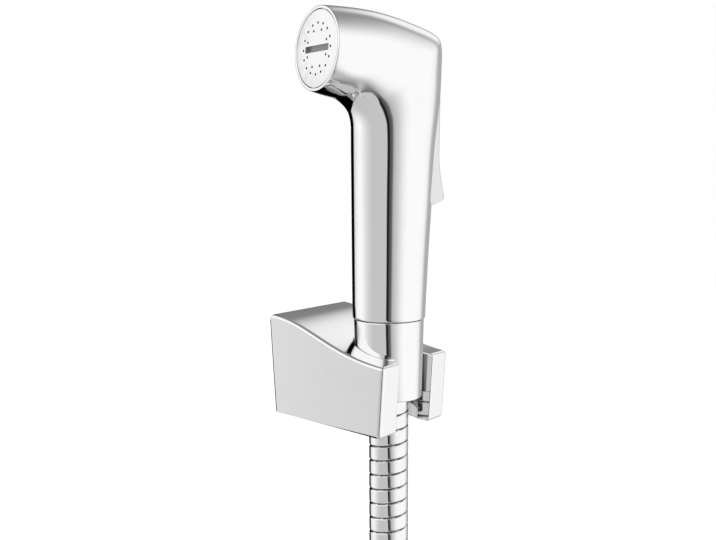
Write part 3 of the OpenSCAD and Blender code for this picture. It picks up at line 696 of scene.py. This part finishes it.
def handset_slices():
    """Underside point, upper point and half width, from the spray face down to the seam."""
    tilt = math.radians(FACE_TILT)
    side = FACE_R * math.sin(tilt)
    rise = FACE_R * math.cos(tilt)
    corner = crown(-BACK_REACH)
    waist_x = -GRIP_TOP_R - GRIP_SHIFT
    step = GRIP_TOP_R - FACE_R
    rise_back = corner - ELBOW_Z
    return [
        ((FACE_REACH + side, FACE_Z - rise), (FACE_REACH - side, FACE_Z + rise), FACE_R),
        (bend(0), (ELBOW_X, crown(ELBOW_X)), FACE_R + 0.4 * step),
        (bend(18), (ELBOW_X / 2, crown(ELBOW_X / 2)), FACE_R + 0.7 * step),
        (bend(34), (0, crown(0)), GRIP_TOP_R),
        (bend(46), (-BACK_REACH / 2, crown(-BACK_REACH / 2)), GRIP_TOP_R),
        (bend(54), (CORNER_R - BACK_REACH, crown(CORNER_R - BACK_REACH)), GRIP_TOP_R),
        (bend(58), (0.7 - BACK_REACH, corner - 0.5), GRIP_TOP_R),
        (bend(62), (-BACK_REACH - 0.1, corner - CORNER_R), GRIP_TOP_R),
        (bend(70), (-BACK_REACH, ELBOW_Z + 0.715 * rise_back), GRIP_TOP_R),
        (bend(80), (waist_x - 0.86 * (BACK_REACH + waist_x), ELBOW_Z + 0.39 * rise_back), GRIP_TOP_R),
        *(grip_slice(share) for share in (1, 0.75, 0.4, 0)),
    ]


def spline(knots, values, where):
    """A curve with no kink in its slope or its bend, through values at knots."""
    count = len(knots)
    gap = np.diff(knots)
    system = np.eye(count)
    right = np.zeros((count, values.shape[1]))
    for i in range(1, count - 1):
        system[i, i - 1:i + 2] = (gap[i - 1], 2 * (gap[i - 1] + gap[i]), gap[i])
        right[i] = 6 * ((values[i + 1] - values[i]) / gap[i] - (values[i] - values[i - 1]) / gap[i - 1])
    curve = np.linalg.solve(system, right)
    spot = np.clip(np.searchsorted(knots, where) - 1, 0, count - 2)
    h = gap[spot][:, None]
    a = (knots[spot + 1] - where)[:, None] / h
    b = 1 - a
    return (a * values[spot] + b * values[spot + 1]
            + ((a ** 3 - a) * curve[spot] + (b ** 3 - b) * curve[spot + 1]) * h * h / 6)


def handset_rings():
    """Oval rings from the spray face to the seam, in the handset's own frame."""
    slices = np.array([(*low, *high, half) for low, high, half in handset_slices()])
    steps = np.linalg.norm(np.diff(slices[:, 2:4], axis=0), axis=1)
    steps = (steps + np.linalg.norm(np.diff(slices[:, :2], axis=0), axis=1)) / 2 + 0.6
    knots = np.concatenate(([0], np.cumsum(steps)))
    where = np.linspace(0, knots[-1], RINGS)
    values = spline(knots, slices, where)
    eased = smooth_line(values, EASE_ROUNDS)
    # The underside is eased from just behind the face, the back and the half width from below
    # the head's corner
    under = np.clip((where[:, None] - 2) / 4, 0, 1)
    behind = np.clip((where[:, None] - knots[8]) / 8, 0, 1)
    share = np.concatenate((under, under, behind, behind, behind), 1)
    values += (eased - values) * share
    turns = circle(AROUND)
    mid = (values[:, :2] + values[:, 2:4]) / 2
    half = (values[:, 2:4] - values[:, :2]) / 2
    rings = np.zeros((len(where), AROUND, 3))
    rings[:, :, 0] = mid[:, None, 0] + half[:, None, 0] * np.cos(turns)
    rings[:, :, 2] = mid[:, None, 1] + half[:, None, 1] * np.cos(turns)
    rings[:, :, 1] = values[:, 4][:, None] * np.sin(turns)
    return rings


def face_ring(radius, out):
    """A ring round the head's axis, out from the spray face's centre by a distance."""
    tilt = math.radians(FACE_TILT)
    turns = circle(AROUND)
    ring = np.zeros((AROUND, 3))
    ring[:, 0] = FACE_REACH + out * math.cos(tilt) - radius * math.sin(tilt) * np.cos(turns)
    ring[:, 2] = FACE_Z + out * math.sin(tilt) + radius * math.cos(tilt) * np.cos(turns)
    ring[:, 1] = radius * np.sin(turns)
    return ring


def seam_ring(radius, z):
    """A ring round the handle's axis, which matches the rings of the grip."""
    turns = circle(AROUND)
    return np.stack((-radius * np.cos(turns), radius * np.sin(turns), np.full(AROUND, z)), 1)


def rounded_lip(outer, inner, way, radius=0.3):
    """Radii and levels of a rounded lip from an outer radius in to an inner one."""
    steps = [(radius - radius * math.cos(a), -way * radius * (1 - math.sin(a)))
             for a in np.linspace(0, math.pi / 2, 4)]
    return [(outer - r, z) for r, z in steps] + [(inner + r, z) for r, z in reversed(steps)]


PIN_X = 12.8
PIN_Z = 77.8
PIN_BORE_R = 1.3
VALVE_Z = 53.3
TRIGGER_W = 8.2
TRIGGER_Z = 41.1
SKIRT_IN = 6.9
POCKET_W = 8.5
POCKET_TOP = PIN_Z + 5
POCKET_LOW = TRIGGER_Z - 3
TIP_STEP = TRIGGER_Z + 4.6
PIN_STEP = PIN_Z - 7
STEM_TRAVEL = 3
SPRING_LOW = 1.7
SPRING_HIGH = 9.3
PRESS = math.degrees(math.asin(STEM_TRAVEL / (PIN_Z - VALVE_Z)))
AT_VALVE = Matrix.Translation((0, 0, VALVE_Z)) @ Matrix.Rotation(math.radians(90), 4, "Y")
AT_PIN = Matrix.Translation((-PIN_X, 0, PIN_Z)) @ Matrix.Rotation(math.radians(90), 4, "X")


def pocket_floor(gap):
    """The outline of the metal in front of the trigger, grown by a gap."""
    return [(0, -60), (-8 - gap, -60), (-8 - gap, TIP_STEP - gap), (-11 - gap, TIP_STEP - gap),
            (-11 - gap, PIN_STEP + gap), (-9.6 - gap, PIN_STEP + gap), (-9.6 - gap, 120), (0, 120)]


def channel_floor(gap):
    """The outline of the metal in front of the trigger's skirts, which sink deeper."""
    return [(0, -60), (-5.4 - gap, -60), (-5.4 - gap, TIP_STEP), (-8 - gap, PIN_STEP - 10),
            (-8 - gap, PIN_STEP - gap), (-11 - gap, PIN_STEP - gap),
            (-11 - gap, PIN_STEP + gap), (-9.6 - gap, PIN_STEP + gap), (-9.6 - gap, 120), (0, 120)]


def make_handset():
    """The cast body: handle and head in one, its spray face and its foot bored out."""
    rings = handset_rings()
    mouth = rounded_lip(FACE_R, MOUTH_R, 1)
    mouth += [(MOUTH_R, -2.25), (FACE_BORE_R, -2.25), (FACE_BORE_R, -8.2), (HEAD_BORE_R, -8.2),
              (HEAD_BORE_R, -34)]
    spigot_bore = SPIGOT_R + 0.05
    foot = rounded_lip(GRIP_R, spigot_bore, -1)
    foot += [(spigot_bore, 12.05), (GRIP_BORE_R, 12.05), (GRIP_BORE_R, POCKET_LOW - 2.5)]
    whole = [face_ring(r, out) for r, out in reversed(mouth)]
    whole += list(rings[1:-1])
    whole += [seam_ring(r, z) for r, z in foot]
    body = skin("handset_shell", placed(whole, HANDSET), "handset", chrome, 40)
    floor = [p for p in pocket_floor(0) if POCKET_LOW < p[1] < POCKET_TOP]
    pocket = [(-8, POCKET_LOW), *floor, (-9.6, POCKET_TOP), (-60, POCKET_TOP), (-60, POCKET_LOW)]
    channel = [(-60, POCKET_LOW), (-5.4, POCKET_LOW), (-5.4, TIP_STEP), (-8, PIN_STEP - 10),
               (-8, PIN_STEP), (-60, PIN_STEP)]
    cutters = [
        shaped(wall_between(pocket, -POCKET_W, POCKET_W), HANDSET),
        shaped(wall_between(channel, -POCKET_W, 0.3 - SKIRT_IN), HANDSET),
        shaped(wall_between(channel, SKIRT_IN - 0.3, POCKET_W), HANDSET),
        shaped(rod(6.05, -13, 10.55, 96), HANDSET @ AT_VALVE),
        shaped(rod(PIN_BORE_R, -POCKET_W - 1, 40, 48), HANDSET @ AT_PIN),
    ]
    combine(body, cutters)
    weld(body)
    finish_mesh(body.data, 40)
    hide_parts("handset_body")


TRIGGER_OUT = 18.2
TRIGGER_REACH = 21
TRIGGER_BACK_R = 14.3
TRIGGER_T = 2
FLAT_X = 9.9
SHOULDER_R = 0.7


def trigger_back(z):
    """How far the trigger's back stands behind the axis, at a height above the seam."""
    flare = np.maximum(0, TRIGGER_Z + 15 - z) / 15
    lean = 0.4 * (z - VALVE_Z) / (PIN_Z - VALVE_Z)
    return TRIGGER_OUT + lean + (TRIGGER_REACH - TRIGGER_OUT) * flare ** 1.6


def trigger_profile():
    """Heights and reaches of the trigger's back, with its tip and its top edge rounded."""
    tip = [(-2.4, 14), (-1.8, 15.65), (-1.2, 17.3), (-0.7, 18.65), (-0.35, 19.55), (-0.1, 20.05),
           (0.15, 20.35), (0.45, 20.52), (0.8, 20.56)]
    tip = [(TRIGGER_Z + z, reach) for z, reach in tip]
    long = [(z, float(trigger_back(z))) for z in np.linspace(TRIGGER_Z + 1.2, PIN_Z + 3.4, 52)]
    top = []
    for a in np.linspace(0, math.pi / 2, 7):
        top.append((PIN_Z + 3.7 + math.sin(a), 18.65 - (1 - math.cos(a))))
    return tip + long + top


def trigger_rings():
    """D-shaped slices: a curved back with softened shoulders, and a flat inside."""
    sweep = math.asin((TRIGGER_W - SHOULDER_R) / TRIGGER_BACK_R)
    rings = []
    for z, reach in trigger_profile():
        edge_x = TRIGGER_BACK_R * (1 - math.cos(sweep)) - reach
        side = [(-FLAT_X, TRIGGER_W)]
        for a in np.linspace(0, 0.9, 5):
            side.append((edge_x + SHOULDER_R * (1 - math.sin(a * math.pi / 2)) + 0.28 * (1 - a),
                         TRIGGER_W - SHOULDER_R * (1 - math.cos(a * math.pi / 2))))
        back = [(TRIGGER_BACK_R * (1 - math.cos(a)) - reach, TRIGGER_BACK_R * math.sin(a), z)
                for a in np.linspace(-sweep, sweep, 33)]
        rings.append([(x, -y, z) for x, y in side] + back + [(x, y, z) for x, y in reversed(side)])
    return rings


def make_trigger():
    """The thumb trigger: a hollow curved plate with a skirt, a pin bore and a nub for the stem."""
    lever = skin("thumb_trigger", placed(trigger_rings(), HANDSET), "trigger", trigger_chrome)
    low, mid, high = TRIGGER_Z + 4, VALVE_Z + 3, PIN_Z - 4.5
    hollow = [(0, TRIGGER_Z - 1), (-16, TRIGGER_Z + 0.9), (TRIGGER_T - trigger_back(low), low),
              (TRIGGER_T - trigger_back(mid), mid), (TRIGGER_T - trigger_back(PIN_Z), high), (0, high)]
    pressed = (Matrix.Translation((-PIN_X, 0, PIN_Z)) @ Matrix.Rotation(math.radians(PRESS), 4, "Y")
               @ Matrix.Translation((PIN_X, 0, -PIN_Z)))
    combine(lever, [shaped(wall_between(hollow, -SKIRT_IN, SKIRT_IN), HANDSET)])
    combine(lever, [shaped(rod(1.6, -17.5, -14.7, 48), HANDSET @ AT_VALVE)], "UNION")
    combine(lever, [
        shaped(wall_between(pocket_floor(0.3), -SKIRT_IN, SKIRT_IN), HANDSET @ pressed),
        shaped(wall_between(channel_floor(0.3), -40, 40), HANDSET @ pressed),
        shaped(rod(PIN_BORE_R, -40, 40, 48), HANDSET @ AT_PIN),
    ])
    finish_mesh(lever.data, 38)
    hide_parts("trigger_lever")


NUT_TOP_R = 12.3
NUT_LOW_R = 11.6
NUT_L = 28
THREAD_R = 9.32
THREAD_END = -15.6
HOSE_PASS_R = 7.8
SEAM_GAP = 0.35


def make_cone_nut():
    """The smooth conical hose nut, with softened rims."""
    outline = [(THREAD_R, -SEAM_GAP), (NUT_TOP_R, -SEAM_GAP), (NUT_LOW_R, -NUT_L), (HOSE_PASS_R, -NUT_L),
               (HOSE_PASS_R, THREAD_END), (THREAD_R, THREAD_END)]
    outline = rounded(outline, 0.55, 6, skip=(0, 3, 4, 5))
    points, faces = lathe(outline, 160)
    nut = make_piece("hose_nut", placed(points, HANDSET), faces, "handset", chrome, sharp=40)
    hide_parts("cone_nut")


def make_valve_spring():
    """The valve's coil spring, one round wire."""
    turns, radius, wire = 4, 3, 0.4
    long = SPRING_HIGH - SPRING_LOW - 2 * wire
    count = 24 * turns
    line = np.array([(radius * math.cos(a), radius * math.sin(a), long * a / (2 * math.pi * turns))
                     for a in np.linspace(0, 2 * math.pi * turns, count + 1)])
    rings = tube_points(line, wire, 12, (0, 0, 1))
    place = HANDSET @ AT_VALVE @ Matrix.Translation((0, 0, SPRING_LOW + wire))
    spring = skin("return_spring", placed(rings, place), "handset", stainless)
    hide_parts("valve_spring")
    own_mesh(spring)


PLATE_R = 12.6
PLATE_T = 2.2
SKIRT_R = 11.3
SKIRT_BORE_R = 9.75
SKIRT_L = 6.5
SLOT_W = 2.2
SLOT_L = 14.4
SLOT_DEEP = 1.4
NOZZLE_R = 0.45
# Each ring's radius, its number of nozzles, and its turn in steps from the line square to the slot
NOZZLE_RINGS = ((8.35, 16, 0), (6.25, 8, 0.5))


def make_spray_plate():
    """The round spray plate: a coin slot, and two rings of nozzles through it."""
    outline = [(0.01, -0.2), (PLATE_R, -0.2), (PLATE_R, -PLATE_T), (SKIRT_R, -2), (SKIRT_R, -SKIRT_L),
               (SKIRT_BORE_R, -SKIRT_L), (SKIRT_BORE_R, -PLATE_T), (0.01, -PLATE_T)]
    points, faces = lathe(rounded(outline, 0.12, 4, skip=(0, 3, 4, 5, 6, 7)), 128)
    face = HANDSET @ Matrix.Translation((FACE_REACH, 0, FACE_Z)) @ Matrix.Rotation(
        math.radians(90 - FACE_TILT), 4, "Y")
    # The rings start a degree off, so that none of their edges runs along the slot
    started = face @ Matrix.Rotation(math.radians(1), 4, "Z")
    plate = make_piece("spray_face", placed(points, started), faces, "handset", plate_chrome)
    x, y = SLOT_W / 2, SLOT_L / 2
    cutters = [shaped(block((-x, -y, -SLOT_DEEP), (x, y, 1)), face)]
    for radius, count, first in NOZZLE_RINGS:
        for k in range(count):
            a = 2 * math.pi * (k + first) / count
            spot = Matrix.Translation((radius * math.cos(a), radius * math.sin(a), 0))
            cutters.append(shaped(rod(NOZZLE_R, -7, 1, 20), face @ spot))
    combine(plate, cutters)
    finish_mesh(plate.data, 35)
    # The slot's floor and long walls take the dark plating, painted shade in the recess
    plate.data.materials.append(slot_painted_shade)
    slot = (face @ Matrix.Translation((0, 0, -0.8))).translation * MM
    out = face.to_3x3() @ UP
    along = face.to_3x3() @ Vector((0, 1, 0))
    for polygon in plate.data.polygons:
        away = polygon.center - slot
        deep = away.dot(out)
        flat = (away - out * deep).length
        slot_end = abs(polygon.normal.dot(along)) > 0.99
        if flat < 0.0076 and -0.0007 < deep < 0.0005 and not slot_end:
            polygon.material_index = 1
    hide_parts("spray_plate")


make_handset()
make_trigger()
make_cone_nut()
make_valve_spring()
make_spray_plate()


# Holder

HOLDER_W = 42.6
HOLDER_TAPER = 3.2
HOLDER_DEEP = 47.8
FOOT_DEEP = 44.4
BACK_TOP = 17.7
BACK_LOW = -17.7
FRONT_TOP = 0.4
FRONT_LOW = -24.2
TOP_BENDS = ((16, 16), (25, 4))
EDGE_R = 1.4
SEAT_R = 12.4
SEAT_RATE = (NUT_TOP_R - NUT_LOW_R) / NUT_L
FORK_SIDE = 10.1
RECESS = (16.8, 9, 13.3)


def holder_corner(point, way_in, way_out, steps):
    """A rounded corner of the side outline: depth, height and the outward direction."""
    a, b = math.radians(way_in), math.radians(way_out)
    back = EDGE_R * math.tan((a - b) / 2)
    mid = (point[0] - back * math.cos(a) + EDGE_R * math.sin(a),
           point[1] - back * math.sin(a) - EDGE_R * math.cos(a))
    out = []
    for t in np.linspace(a, b, steps + 1):
        out.append((mid[0] - EDGE_R * math.sin(t), mid[1] + EDGE_R * math.cos(t),
                    -math.sin(t), math.cos(t)))
    return out


def way_between(a, b):
    return math.degrees(math.atan2(b[1] - a[1], b[0] - a[0]))


def holder_outline():
    """The side outline: level behind, swooping down along the top, with a drawn-back front."""
    back, first, second, front = (
        np.array(p, float) for p in ((0, BACK_TOP), *TOP_BENDS, (HOLDER_DEEP, FRONT_TOP)))
    foot = np.array((FOOT_DEEP, FRONT_LOW))
    low = np.array((0, BACK_LOW))
    down = way_between(front, foot)
    under = way_between(foot, low) - 360
    out = [(0, BACK_LOW, -1, 0)]
    out += holder_corner(back, 90, way_between(back, first), 8)
    for t in np.linspace(0.04, 0.96, 36):
        u = 1 - t
        p = u ** 3 * back + 3 * u * u * t * first + 3 * u * t * t * second + t ** 3 * front
        w = u * u * (first - back) + 2 * u * t * (second - first) + t * t * (front - second)
        w /= np.linalg.norm(w)
        out.append((p[0], p[1], -w[1], w[0]))
    out += holder_corner(front, way_between(second, front), down, 8)
    out += holder_corner(foot, down, under, 8)
    return out


def holder_ring(side, drawn_in, narrowed):
    ring = []
    for deep, high, out, over in holder_outline():
        y = deep - max(0, out) * drawn_in
        x = side * (HOLDER_W / 2 - HOLDER_TAPER / 2 * y / HOLDER_DEEP - narrowed)
        ring.append((x, -y, high - over * drawn_in))
    return ring


def make_holder():
    """The forked holder: one chromed block with a tapered seat and a hollow back."""
    right, left = ([holder_ring(side, EDGE_R * (1 - math.sin(a)), EDGE_R * (1 - math.cos(a)))
                    for a in np.linspace(0, math.pi / 2, 8)] for side in (1, -1))
    holder = skin("wall_holder", right + left[::-1], "holder", chrome)
    leaning = Matrix.Translation(SEAM) @ Matrix.Rotation(math.radians(LEAN), 4, "X")
    seat = [(SEAT_R + z * SEAT_RATE, z) for z in (-50, 20)]
    wide, deep, high = RECESS
    combine(holder, [
        shaped((turned(seat, 128), ring_faces(2, 128)), leaning),
        shaped(block((-FORK_SIDE, -50, -60), (FORK_SIDE, 0, 20)), leaning),
        shaped(block((-wide, -deep, -high), (wide, 1, high))),
        shaped(rod(2.05, -60, 0, 48), Matrix.Translation((0, -2.5, 0))),
    ])
    soften(holder, 0.5, 45, 4, clamp=False)
    # The seat's bore and the fork's inner walls take the darker plating: painted shade between holder and
    # nut
    holder.data.materials.append(seat_painted_shade)
    back_to_seat = leaning.inverted()
    for polygon in holder.data.polygons:
        spot = back_to_seat @ (polygon.center / MM)
        in_bore = math.hypot(spot.x, spot.y) < SEAT_R + spot.z * SEAT_RATE + 0.03
        in_slot = abs(spot.x) < FORK_SIDE + 0.01 and spot.y < 0 and abs(polygon.normal.x) > 0.99
        if in_bore or in_slot:
            polygon.material_index = 1
    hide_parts("holder_body")


make_holder()
copy_node("wall_plate", "mounting_plate", "holder", pale_plastic, 0.3, 40)

# The CAD pieces that keep their own shapes
KEPT = (
    (stainless, ("grub_screw", "trigger_pin", "crimp_sleeve", "end_sleeve", "inlet_spigot")),
    (turned_brass, ("gland_nut", "valve_stem", "hose_nipple", "end_nipple")),
    (black_rubber, ("plate_seal", "spigot_seal", "cartridge_seals", "stem_seal", "valve_washer",
                    "inlet_washer", "end_washer")),
    (pale_plastic, ("valve_cartridge", "slip_ring")),
)
for material, names in KEPT:
    for name in names:
        nodes[name].data.materials.clear()
        nodes[name].data.materials.append(material)


# Studio

ROOM_FRONT = (-0.7927, -0.6096)
ROOM_RIGHT = (0.6096, -0.7927)


def grey(tone):
    """The colour that looks as bright in a picture as its tone says."""
    value = tone ** 2.2
    return (value, value, value, 1)


def fill_ramp(ramp, low, high, stops):
    """Stops by angle in degrees."""
    ramp.interpolation = "LINEAR"
    while len(ramp.elements) > 1:
        ramp.elements.remove(ramp.elements[-1])
    for i, (angle, tone) in enumerate(stops):
        place = (angle - low) / (high - low)
        stop = ramp.elements[0] if i == 0 else ramp.elements.new(place)
        stop.position = place
        stop.color = grey(tone)


def angle_ramp(tree, angle, low, high, stops):
    """A tone by an angle in degrees."""
    ramp = add_node(tree, "ShaderNodeValToRGB")
    fill_ramp(ramp.color_ramp, low, high, stops)
    tree.links.new(remapped(tree, angle, From_Min=low, From_Max=high), ramp.inputs["Fac"])
    return ramp.outputs[0]


def soft_step(tree, value, start, end):
    """Rises smoothly from 0 at start to 1 at end."""
    return remapped(tree, value, "SMOOTHSTEP", From_Min=start, From_Max=end)


def mix_colours(tree, share, first, second, way="MIX"):
    mix = add_node(tree, "ShaderNodeMix", data_type="RGBA", blend_type=way)
    tree.links.new(share, mix.inputs["Factor"])
    for value, socket in ((first, mix.inputs["A"]), (second, mix.inputs["B"])):
        feed(tree, grey(value) if isinstance(value, float) else value, socket)
    return mix.outputs["Result"]


def toward(turn, rise):
    """A direction by its angles to the right of the room's front and above level."""
    a, b = math.radians(turn), math.radians(rise)
    return [math.cos(b) * (math.cos(a) * f + math.sin(a) * r)
            for f, r in zip(ROOM_FRONT, ROOM_RIGHT)] + [math.sin(b)]


def angle_from(tree, way, turn, rise):
    facing = add_node(tree, "ShaderNodeVectorMath", operation="DOT_PRODUCT")
    tree.links.new(way, facing.inputs[0])
    facing.inputs[1].default_value = toward(turn, rise)
    return math_node(tree, "DEGREES", math_node(tree, "ARCCOSINE", facing.outputs["Value"]))


def studio_walls(tree):
    """The studio that the polished metal mirrors: a grey wall with a soft lamp on the left, a
    dark upright flag in the middle, a white wall on the right, and a black flag low behind."""
    way = add_node(tree, "ShaderNodeTexCoord").outputs["Generated"]
    apart = add_node(tree, "ShaderNodeSeparateXYZ")
    tree.links.new(way, apart.inputs[0])
    x, y, z = apart.outputs

    def calc(operation, *values):
        return math_node(tree, operation, *values)

    def product(first, *others):
        for other in others:
            first = calc("MULTIPLY", first, other)
        return first

    def step(value, start, end):
        return soft_step(tree, value, start, end)

    ahead, aside = (calc("ADD", product(x, way_x), product(y, way_y))
                    for way_x, way_y in (ROOM_FRONT, ROOM_RIGHT))
    turn = calc("DEGREES", calc("ARCTAN2", aside, ahead))
    rise = calc("DEGREES", calc("ARCSINE", z))
    # The middle flag's foot swings to the right
    low = calc("MINIMUM", rise, 0)
    swing = calc("MINIMUM", product(low, low, 0.0105), 44)
    swung = calc("SUBTRACT", turn, product(swing, calc("GREATER_THAN", turn, -90)))
    walls = angle_ramp(tree, swung, -180, 180, [
        (-180, 0.5), (-168, 0.5), (-143, 0.76), (-13.4, 0.775),
        (-12.4, 0.1), (-7.5, 0.13), (-5.5, 0.3), (1, 0.4), (4.5, 0.68), (9, 0.75), (16, 0.8),
        (24, 0.88), (33, 0.95), (41, 0.985), (48, 1.0), (96, 1.0), (113, 0.96), (123, 0.8),
        (129, 0.7), (144, 0.67), (160, 0.7), (172, 0.52), (180, 0.5)])
    floor = angle_ramp(tree, swung, -180, 180, [
        (-180, 0.47), (-168, 0.47), (-150, 0.6), (-138, 0.76), (-13, 0.775), (-10, 0.45), (0, 0.5),
        (10, 0.62), (26, 0.74), (44, 0.7), (66, 0.56), (86, 0.47), (106, 0.56), (180, 0.47)])
    walls = mix_colours(tree, step(rise, -46, -66), walls, floor)
    glow = angle_ramp(tree, angle_from(tree, way, -104, -6), 0, 180, [
        (0, 1.0), (9, 0.995), (19, 0.93), (30, 0.855), (40, 0.805), (52, 0.76), (60, 0.0), (180, 0.0)])
    walls = mix_colours(tree, calc("LESS_THAN", turn, -50), walls, glow, "LIGHTEN")
    panel = product(step(rise, 6, 12), step(turn, 0, -30), step(turn, -140, -115))
    upright = product(step(turn, -132, -138), step(turn, -175, -170), step(rise, 66, 54))
    lamp = step(angle_from(tree, way, 150, 34), 22, 7)
    # The black flag low behind is a leaning oval, 24 degrees to each side and 30 up and down
    deep = calc("MULTIPLY_ADD", rise, 1 / 30, 38 / 30)
    wide = calc("MULTIPLY_ADD", calc("MULTIPLY_ADD", rise, 0.35, turn), 1 / 24, 166.3 / 24)
    flag = step(calc("ADD", product(deep, deep), product(wide, wide)), 1.08, 0.94)
    for share, tone in ((step(rise, 21, 64), 0.57), (panel, 1.0), (step(rise, 52, 66), 0.55),
                        (lamp, 0.97), (upright, 0.04), (flag, 0.03)):
        walls = mix_colours(tree, share, walls, tone)
    return walls


def seen_rays(tree):
    """1 for rays that the camera sees, also through something clear, and 1 for mirrored rays."""
    path = add_node(tree, "ShaderNodeLightPath").outputs
    seen = math_node(tree, "MAXIMUM", path["Is Camera Ray"], path["Is Transmission Ray"])
    return seen, path["Is Glossy Ray"]


def background(tree, colour, strength=1):
    """An even background, by a tone or by a socket."""
    node = add_node(tree, "ShaderNodeBackground")
    node.inputs["Strength"].default_value = strength
    if isinstance(colour, (int, float)):
        colour = (colour, colour, colour, 1)
    feed(tree, colour, node.inputs["Color"])
    return node.outputs[0]


def mix_shaders(tree, *sockets):
    """The share, the shader where it is 0, and the shader where it is 1."""
    mix = add_node(tree, "ShaderNodeMixShader")
    for given, socket in zip(sockets, mix.inputs):
        tree.links.new(given, socket)
    return mix.outputs[0]


def studio_world():
    """White to the camera, plain light on the object, and a studio of tones for the metal."""
    world = bpy.data.worlds.new("studio")
    bpy.context.scene.world = world
    world.use_nodes = True
    tree = world.node_tree
    tree.nodes.clear()
    seen, glossy = seen_rays(tree)
    plain = mix_shaders(tree, seen, background(tree, 0.95, 0.75), background(tree, 1))
    mixed = mix_shaders(tree, glossy, plain, background(tree, studio_walls(tree)))
    tree.links.new(mixed, add_node(tree, "ShaderNodeOutputWorld").inputs[0])


def add_lamp(name, spot, aim, size, power):
    data = bpy.data.lights.new(name, "AREA")
    data.size = size
    data.energy = power
    lamp = add_object(name, data)
    lamp.location = spot
    lamp.rotation_euler = (Vector(aim) - Vector(spot)).to_track_quat("-Z", "Y").to_euler()
    lamp.visible_glossy = False


def add_floor():
    """A plain pale floor below the coil, white to the camera apart from the object's shadow."""
    side, z = 3, -0.3
    mesh = bpy.data.meshes.new("floor")
    mesh.from_pydata([(-side, -side, z), (side, -side, z), (side, side, z), (-side, side, z)], [],
                     [(0, 1, 2, 3)])
    material, tree, shader = start_material("pale_floor", 0, 0.8)
    shader.inputs["Base Color"].default_value = (0.85, 0.85, 0.85, 1)
    shader.inputs["Specular IOR Level"].default_value = 0
    shader.inputs["Emission Color"].default_value = (1, 1, 1, 1)
    seen, _ = seen_rays(tree)
    tree.links.new(math_node(tree, "MULTIPLY", seen, 0.45), shader.inputs["Emission Strength"])
    mesh.materials.append(material)
    floor = add_object("floor", mesh)
    floor.visible_glossy = False


studio_world()
AIM = (0, -0.03, 0)
add_lamp("key", (-0.7, -1.0, 0.9), AIM, 0.8, 9)
add_lamp("fill", (0.9, -0.8, 0.3), AIM, 0.9, 5)
add_lamp("back", (-0.2, 0.9, 0.8), AIM, 0.7, 4)
add_floor()
